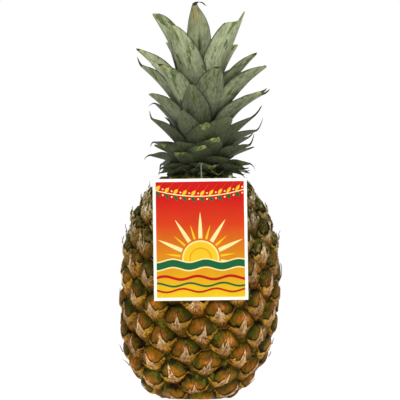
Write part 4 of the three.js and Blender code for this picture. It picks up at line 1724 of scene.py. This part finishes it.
@dataclass
class Crown:
    """The leafy shoot: a short stem and its leaves in one rising spiral."""

    rule: LeafRule = LeafRule()
    finish: LeafFinish = LeafFinish()
    leaves: int = 63
    turn: float = math.radians(137.508)
    front_leaf: int = 32
    axis_x: float = FruitShape.lean
    root: float = 7.0
    thickness: float = 1.5
    trough: float = 0.24
    columns: int = 26
    rows: int = 52
    ceiling: float = 318.9
    front_pull: float = 0.2
    front_curl: float = 24.0
    spiny_until: int = 36
    lobed_leaf: int = 58
    tongue_leaf: int = 61
    tongue_from: float = 0.84
    fresh: tuple = (-13, -8)
    fresh_share: float = 0.86
    torn: tuple = (3, 11, 14, 19, 22, 24, 32)
    # How far leaves stray from the rule, in millimetres and, for the turn and the twist, in degrees.
    height_stray: float = 3.5
    reach_stray: float = 3.0
    sway_stray: float = 4.0
    turn_stray: float = 5.0
    twist_stray: float = 9.0
    # Where the grain is read: a leaf's length, and the shifts to its back face and to the next leaf.
    grain_length: float = 95.0
    back_shift: float = 40.0
    leaf_shift: float = 37.0
    whorls: tuple = (
        ("crown_collar", -13, 0), ("crown_low", 0, 22), ("crown_middle", 22, 43), ("crown_top", 43, 63),
    )

    @staticmethod
    def look_up(index: Array, find: Callable[[int], Sequence[float]]) -> Array:
        """A row of numbers for each index, found once for each leaf."""
        leaves, which = np.unique(index, return_inverse=True)
        return np.array([find(int(leaf)) for leaf in leaves], float)[which]

    def quirks_of(self, index: Array) -> Array:
        """The quirks of each index's leaf, one row each."""
        return self.look_up(index, lambda leaf: LEAF_QUIRKS.get(leaf, (0, 0, 0, 0)))

    def spines(self, index: Array, t: Array) -> tuple[Array, Array, Array, Array]:
        """Follows leaves along their middle lines.

        Args:
            index: the leaves' indices.
            t: how far along, from 0 at the root to 1 at the tip.

        Returns:
            Radius, height, and the outward and upward parts of the direction there.
        """
        share = index / (self.leaves - 1)
        quirk = self.quirks_of(index)
        root = abreast(self.root, table(self.rule.attach, share))
        stray = self.height_stray * wobble(index, 1) * np.clip(2 * share, 0, 1)
        tip_height = table(self.rule.tip_height, share) + stray
        reach = table(self.rule.reach, share) + self.reach_stray * wobble(index, 2) + quirk[:, 2]
        facing = np.cos(self.turn * (self.front_leaf - index) + np.radians(quirk[:, 0]))
        upright = smoothstep(facing, 0.5, 0.95) * smoothstep(share, 0.75, 0.45)
        reach = reach * (1 - self.front_pull * upright)
        tip = abreast(reach, tip_height + quirk[:, 1])
        chord = tip - root
        long = np.hypot(chord[:, 0], chord[:, 1])
        heading = np.arctan2(chord[:, 0], chord[:, 1])
        root_arch = np.radians(table(self.rule.root_arch, share))
        tip_arch = np.radians(table(self.rule.tip_arch, share) - self.front_curl * upright)

        def towards(angle: Array, length: Array) -> Array:
            """A step of a length at an angle from upright."""
            return abreast(np.sin(angle), np.cos(angle)) * length[:, None]

        out = root + towards(heading - root_arch, 0.38 * long)
        back = tip - towards(heading + tip_arch, 0.35 * long)
        s = t[:, None]
        place = root * (1 - s) ** 3 + 3 * out * s * (1 - s) ** 2 + 3 * back * s**2 * (1 - s) + tip * s**3
        along = 3 * (out - root) * (1 - s) ** 2 + 6 * (back - out) * s * (1 - s) + 3 * (tip - back) * s**2
        along = along / np.hypot(along[:, 0], along[:, 1])[:, None]
        return place[:, 0], place[:, 1], along[:, 0], along[:, 1]

    def outline(self, share: Array, t: Array) -> Array:
        """How wide leaves are along their length, as a share of their greatest width.

        Args:
            share: each leaf's place between the lowest (0) and the innermost (1).
            t: how far along its leaf each point is.

        Returns:
            Shares from 0 to 1: old leaves taper to a point, young ones end in a blunt one.
        """
        rule = self.rule
        outlines = (rule.outline, rule.middle_outline, rule.old_outline)
        young, middle, old = (rounded(pairs, t) for pairs in outlines)
        grown = old + (middle - old) * smoothstep(share, *rule.old_until)
        return grown + (young - grown) * smoothstep(share, *rule.middle_until)

    def tip_of(self, leaf: int) -> Four:
        """Settles a leaf's dry tip.

        Args:
            leaf: the leaf's index.

        Returns:
            Where along the leaf the dry spine starts, and how far it curls sideways, outwards and upwards.
        """
        if leaf in self.torn:
            return NO_TIP
        if leaf in DRY_TIPS:
            return DRY_TIPS[leaf]
        side, out, long = (float(wobble(leaf, trait)) for trait in (10, 9, 13))
        if leaf < self.spiny_until:
            return 0.87 + 0.04 * long, 4.5 * side, 2.0 * out, 2.0 + 4.0 * out
        return (0.97, 1.5 * side, 1.5 * out, 0.0) if long > 0 else NO_TIP

    def build_whorl(self, name: str, first: int, last: int, material: Material) -> Object:
        """Shapes a run of leaves.

        Args:
            name: the piece's name.
            first: its lowest leaf.
            last: one past its highest leaf.
            material: the leaves' finish.

        Returns:
            The piece.
        """
        mesh, u, t, which = Workshop.grids(name, last - first, self.columns, self.rows)
        index, phi = first + which, math.pi * (u + 1)
        side, face = np.cos(phi), np.sin(phi)
        torn = np.isin(index, self.torn)
        ragged = 0.02 * (1 + np.sin(5.3 * side + index)) * smoothstep(t, 0.88, 1.0) * torn
        radius, height, outward, upward = self.spines(index, t - ragged)
        share = index / (self.leaves - 1)
        quirk = self.quirks_of(index)
        width = table(self.rule.width, share)
        body = ((t > 1e-4) & (t < 1 - 1e-4)).astype(float)
        dry_from, tip_side, tip_out, tip_up = self.look_up(index, self.tip_of).T
        spine = np.clip((t - dry_from) / np.maximum(1 - dry_from, 1e-3), 0, 1)
        wither = smoothstep(t, dry_from - 0.03, dry_from + 0.015) * (dry_from < 0.999)
        end = np.clip((t - self.rule.round_from) / (1 - self.rule.round_from), 0, 1)
        tongue = index == self.tongue_leaf
        end = np.where(tongue, np.clip((t - self.tongue_from) / (1 - self.tongue_from), 0, 1), end)
        half = width / 2 * self.outline(share, np.minimum(np.where(tongue, 0.94, 1.0) * t / dry_from, 1))
        half = half * (1 - 0.65 * spine) * np.sqrt(1 - end ** np.where(tongue, 4, 2)) * body
        half = half * (1 - smoothstep(t, 0.84, 0.91) * ((index == self.lobed_leaf) & (side < 0)))
        hollow = 2 * half * (self.trough + 0.12 * t**2) * np.abs(side) ** 1.8
        wave = 0.5 * smoothstep(t, 0.25, 0.6) * smoothstep(half, 0, 6) * np.abs(side) ** 2
        wave = wave * np.sin(t * (9 + 3 * wobble(index, 6)) + 3 * wobble(index, 7) + 1.7 * np.sign(side))
        thick = self.thickness / 2 * (1 - 0.45 * t) * body * np.minimum(1, 0.5 + half / 6)
        skin = np.sign(face) * np.abs(face) ** 0.8 * thick
        twist = np.radians(self.twist_stray * wobble(index, 8)) * smoothstep(t, 0.3, 1.0)
        offset = -hollow + skin + wave
        aside = side * half * np.cos(twist) + offset * np.sin(twist)
        offset = offset * np.cos(twist) - side * half * np.sin(twist) * 0.6
        offset = offset + spine**1.5 * tip_out
        aside = aside + spine**1.3 * tip_side + (self.sway_stray * wobble(index, 4) + quirk[:, 3]) * t**2
        radius = radius + upward * offset
        height = height - outward * offset + spine**2.5 * tip_up
        degrees = self.turn_stray * wobble(index, 3) + quirk[:, 0]
        angle = self.turn * (self.front_leaf - index) + np.radians(degrees)
        x = self.axis_x + radius * np.sin(angle) + aside * np.cos(angle)
        y = -radius * np.cos(angle) + aside * np.sin(angle)
        Workshop.move(mesh, abreast(x, y, np.minimum(height, self.ceiling)))
        across = side * half + self.back_shift * (face < 0)
        Workshop.mark(
            mesh, across=side, along=t, dry=wither, seed=seed_of(index, 12),
            torn=torn * smoothstep(t + 0.05 * np.abs(side), 0.7, 0.98),
            inner=smoothstep(-face, -0.1, 0.1),
            young=np.where(np.isin(index, self.fresh), self.fresh_share, share),
            grain=abreast(across, t * self.grain_length, index * self.leaf_shift),
        )
        Workshop.weld(mesh)
        return Workshop.place(mesh, material, "crown", Slot.LEAF)

    def build(self) -> list[Object]:
        """Shapes and dresses every leaf, whorl by whorl.

        Returns:
            The pieces, from the collar up.
        """
        material = self.finish.make()
        return [self.build_whorl(*whorl, material) for whorl in self.whorls]


@dataclass
class Stem:
    """The crown's short stem, which its leaves wrap."""

    finish: StemFinish = StemFinish()
    axis_x: float = FruitShape.lean
    foot: float = 178.3
    outline: tuple = (
        (0, 0), (16.6, 0), (17.3, 0.8), (16.9, 4), (15.6, 12), (13.6, 24), (11, 40), (7, 60), (3.5, 64),
        (0, 65),
    )
    steps: int = 64

    def build(self) -> Object:
        """Spins the stem and dresses it.

        Returns:
            The piece.
        """
        profile = [(radius, self.foot + up) for radius, up in self.outline]
        mesh = Workshop.turned("crown_stem", profile, self.steps)
        mesh.transform(Matrix.Translation((self.axis_x, 0.0, 0.0)))
        return Workshop.place(mesh, self.finish.make(), "crown", Slot.LEAF)


# ---- Hang tag ----


@dataclass
class HangTag:
    """The printed card, a little cockled."""

    card: Card
    columns: int = 60
    rows: int = 76
    paper: float = 0.45
    cockle: float = 0.3
    cockle_size: tuple = (17.0, 23.0)

    def build(self) -> Object:
        """Cuts the card, gives it its thickness, and prints and hangs it.

        Returns:
            The piece.
        """
        mesh, u, v, _ = Workshop.grids("hang_tag_card", 1, self.columns, self.rows)
        flat = abreast(u * self.card.width / 2, v * self.card.height, 0.0)
        Workshop.move(mesh, flat)
        Workshop.mark(mesh, print=flat)
        places = Workshop.thicken(mesh, self.paper)
        Workshop.mark(mesh, front=(places[:, 2] > -self.paper / 2).astype(float))
        across, up = places[:, :2].T / np.array(self.cockle_size)[:, None]
        bend = np.sin(across + 0.6) * np.sin(up + 0.4)
        places[:, 2] -= self.cockle * (0.5 + 0.5 * bend)
        Workshop.move(mesh, places)
        mesh.transform(self.card.hung)
        return Workshop.place(mesh, PrintFinish(self.card).make(), "hang_tag", Slot.CARD)


@dataclass
class Tie:
    """The elastic that runs from the card's back round the crown's foot and back again."""

    card: Card
    finish: TieFinish = TieFinish()
    axis_x: float = FruitShape.lean
    gap: float = 0.3
    channel: float = 0.6
    radius: float = 0.3
    ring_radius: float = 19.0
    ring_height: float = 183.2
    ring_turns: range = range(20, 341, 40)
    crest_height: float = 187.8
    crest_y: float = -50.0
    spread: float = 0.7
    tail: float = 10.0
    sides: int = 10
    steps: int = 320
    fine_steps: int = 40

    def route(self) -> list[Vector]:
        """Plans the points that the tie runs through.

        Returns:
            The points, from one end behind the card to the other.
        """
        behind = -(self.card.thickness + self.gap + self.channel)
        top = self.card.height
        up_card = ((top - self.tail, behind), (top - self.tail / 2, behind), (top, behind - self.channel))
        first, last = (
            [self.card.spot(self.card.tie_x + across, *climb) for climb in up_card]
            + [Vector((self.axis_x + across, self.crest_y, self.crest_height))]
            for across in (self.spread / 2, -self.spread / 2)
        )
        middle = Vector((self.axis_x, 0.0, self.ring_height))
        foremost = Vector((0.0, -self.ring_radius, 0.0))
        turns = (Matrix.Rotation(math.radians(turn), 3, "Z") for turn in self.ring_turns)
        return first + [middle + turn @ foremost for turn in turns] + last[::-1]

    def smooth(self) -> Array:
        """Runs a smooth curve through the route.

        Returns:
            Its points, evenly spread along it.
        """
        knots = np.array([list(point) for point in self.route()])
        ends = np.vstack([2 * knots[0] - knots[1], knots, 2 * knots[-1] - knots[-2]])
        fine = []
        for p0, p1, p2, p3 in zip(ends, ends[1:], ends[2:], ends[3:]):
            steps = np.linalg.norm(np.diff([p0, p1, p2, p3], axis=0), axis=1) ** 0.5
            t0, t1, t2, t3 = np.cumsum([0.0, *np.maximum(1e-4, steps)])
            at = np.linspace(t1, t2, self.fine_steps, endpoint=False)[:, None]
            near, middle, far = mix(p0, p1, t0, t1, at), mix(p1, p2, t1, t2, at), mix(p2, p3, t2, t3, at)
            early, late = mix(near, middle, t0, t2, at), mix(middle, far, t1, t3, at)
            fine.append(mix(early, late, t1, t2, at))
        curve = np.vstack(fine + [knots[-1:]])
        run = np.concatenate([[0.0], np.cumsum(np.linalg.norm(np.diff(curve, axis=0), axis=1))])
        log.info("the tie is %.0f mm long", run[-1])
        even = np.linspace(0.0, run[-1], self.steps + 1)
        return abreast(*(np.interp(even, run, part) for part in curve.T))

    def build(self) -> Object:
        """Rolls a strip into a tube along the route and dresses it.

        Returns:
            The piece.
        """
        curve = self.smooth()
        ahead = np.gradient(curve, axis=0)
        ahead /= np.linalg.norm(ahead, axis=1)[:, None]
        aside = np.zeros_like(curve)
        held = np.array([1.0, 0.0, 0.0])
        for step, heading in enumerate(ahead):
            held = held - heading * held.dot(heading)
            held /= np.linalg.norm(held)
            aside[step] = held
        over = np.cross(ahead, aside)
        mesh, u, v, _ = Workshop.grids("tag_elastic", 1, self.sides, self.steps)
        step, phi = np.rint(v * self.steps).astype(int), math.pi * (u + 1)
        thick = self.radius * ((step > 0) & (step < self.steps))
        ring = aside[step] * np.cos(phi)[:, None] + over[step] * np.sin(phi)[:, None]
        Workshop.move(mesh, curve[step] + ring * thick[:, None])
        long = float(np.linalg.norm(np.diff(curve, axis=0), axis=1).sum())
        Workshop.mark(mesh, braid=abreast(phi, long * step / self.steps, 0.0))
        Workshop.weld(mesh)
        return Workshop.place(mesh, self.finish.make(), "tag_tie", Slot.ELASTIC)


@dataclass
class Seal:
    """The round paper seal that holds the tie's ends on the card's back."""

    card: Card
    finish: SealFinish = SealFinish()
    radius: float = 6.5
    drop: float = 9.5
    gap: float = 0.3
    rise: float = 1.95
    paper: float = 0.4
    ridge: float = 2.1
    slope: float = 1.6
    ends: float = 0.5
    rings: int = 18
    steps: int = 72

    def build(self) -> Object:
        """Presses a paper disc over the tie's ends and dresses it.

        Returns:
            The piece.
        """
        profile = [(self.radius * k / self.rings, 0.0) for k in range(self.rings + 1)]
        mesh = Workshop.turned("tie_seal_paper", profile, self.steps)
        places = Workshop.points(mesh)
        far = np.hypot(places[:, 0], places[:, 1]) / self.radius
        below = np.minimum(0.0, places[:, 1] - self.ends)
        over = smoothstep(np.hypot(places[:, 0], below), self.ridge + self.slope, self.ridge)
        places[:, 2] = -self.rise * over
        Workshop.move(mesh, places)
        Workshop.mark(mesh, far=far)
        places = Workshop.thicken(mesh, self.paper)
        places += (self.card.tie_x, self.card.height - self.drop, -self.card.thickness - self.gap)
        Workshop.move(mesh, places)
        mesh.transform(self.card.hung)
        return Workshop.place(mesh, self.finish.make(), "tie_seal", Slot.CARD)


# ---- Studio ----


@dataclass
class Studio:
    """A pale floor, soft light and the camera."""

    span: float = 320.0
    distance: float = 6000.0
    elevation: float = math.radians(0.3)
    target: tuple = (4.0, 0.0, 158.8)
    sensor: float = 36.0
    band: float = 0.06
    sky_light: float = 0.28
    glow: float = 0.88
    floor_half: float = 12.0
    # Each lamp's name, its place in metres, its side in metres and its strength in watts.
    lamps: tuple = (
        ("key", (-0.9, -2.2, 1.1), 0.4, 20.0), ("fill", (1.2, -2.1, 0.7), 0.7, 14.0),
        ("top", (0.1, -0.2, 2.4), 1.0, 20.0),
    )

    def aim(self, name: str, data: bpy.types.ID, place: Vector) -> Object:
        """Adds a camera or a lamp that faces the target.

        Args:
            name: its name.
            data: the camera or the lamp.
            place: where it stands, in metres.

        Returns:
            The new object.
        """
        made = Workshop.link(name, data)
        made.location = place
        made.rotation_euler = (Vector(self.target) * MM - place).to_track_quat("-Z", "Y").to_euler()
        return made

    def camera(self) -> None:
        """Sets up the camera, whose picture is as wide as the span at the fruit."""
        data = bpy.data.cameras.new("camera")
        data.sensor_width = self.sensor
        data.lens = self.sensor * self.distance / self.span
        data.clip_end = 100.0
        back = Vector((0.0, -math.cos(self.elevation), math.sin(self.elevation)))
        place = (Vector(self.target) + back * self.distance) * MM
        bpy.context.scene.camera = self.aim("camera", data, place)

    def lamp(self, name: str, place: tuple, size: float, power: float) -> None:
        """Hangs a soft square lamp.

        Args:
            name: its name.
            place: where it hangs, in metres.
            size: its side, in metres.
            power: its strength, in watts.
        """
        data = bpy.data.lights.new(name, "AREA")
        data.shape = "SQUARE"
        data.size = size
        data.energy = power
        self.aim(name, data, Vector(place))

    def floor(self) -> None:
        """Lays the pale floor."""
        mesh = Workshop.grids("floor", 1, 1, 1)[0]
        mesh.transform(Matrix.Scale(self.floor_half, 4))
        g = Graph("floor")
        tone = g.ramp(g.noise(g.place(), 3.0), [(0.3, Paint(158, 158, 157)), (0.7, Paint(164, 164, 163))])
        g.shader.inputs["Emission Color"].default_value = (1.0, 1.0, 1.0, 1.0)
        g.shader.inputs["Emission Strength"].default_value = self.glow
        mesh.materials.append(g.finish(tone, 0.8, None, 0.2))
        Workshop.link("floor", mesh)

    def build(self) -> None:
        """Sets up the whole studio."""
        self.camera()
        self.floor()
        for lamp in self.lamps:
            self.lamp(*lamp)
        self.sky()
        bpy.context.scene.view_settings.view_transform = "Standard"

    def sky(self) -> None:
        """Surrounds the floor with a white horizon under a dimmer sky."""
        world = bpy.data.worlds.new("studio")
        world.use_nodes = True
        tree = world.node_tree
        split = tree.nodes.new("ShaderNodeSeparateXYZ")
        height = tree.nodes.new("ShaderNodeMapRange")
        height.interpolation_type = "SMOOTHSTEP"
        for socket, value in zip(height.inputs[1:5], (self.band, 2 * self.band, 1.0, self.sky_light)):
            socket.default_value = value
        tree.links.new(tree.nodes.new("ShaderNodeTexCoord").outputs["Generated"], split.inputs[0])
        tree.links.new(split.outputs["Z"], height.inputs["Value"])
        tree.links.new(height.outputs["Result"], tree.nodes["Background"].inputs["Strength"])
        tree.nodes["Background"].inputs["Color"].default_value = (1.0, 1.0, 1.0, 1.0)
        bpy.context.scene.world = world


def main() -> None:
    """Builds the pineapple's dress piece by piece."""
    logging.basicConfig(level=logging.INFO, format="%(name)s: %(message)s")
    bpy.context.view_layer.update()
    Studio().build()
    eyes = Eyes()
    edge = BractEdge(eyes)
    Rind(eyes, edge).build()
    Bracts(eyes, edge).build()
    Wisps(eyes).build()
    Stalk().build()
    Stem().build()
    Crown().build()
    card = Card()
    HangTag(card).build()
    Tie(card).build()
    Seal(card).build()


if __name__ == "__main__":
    main()
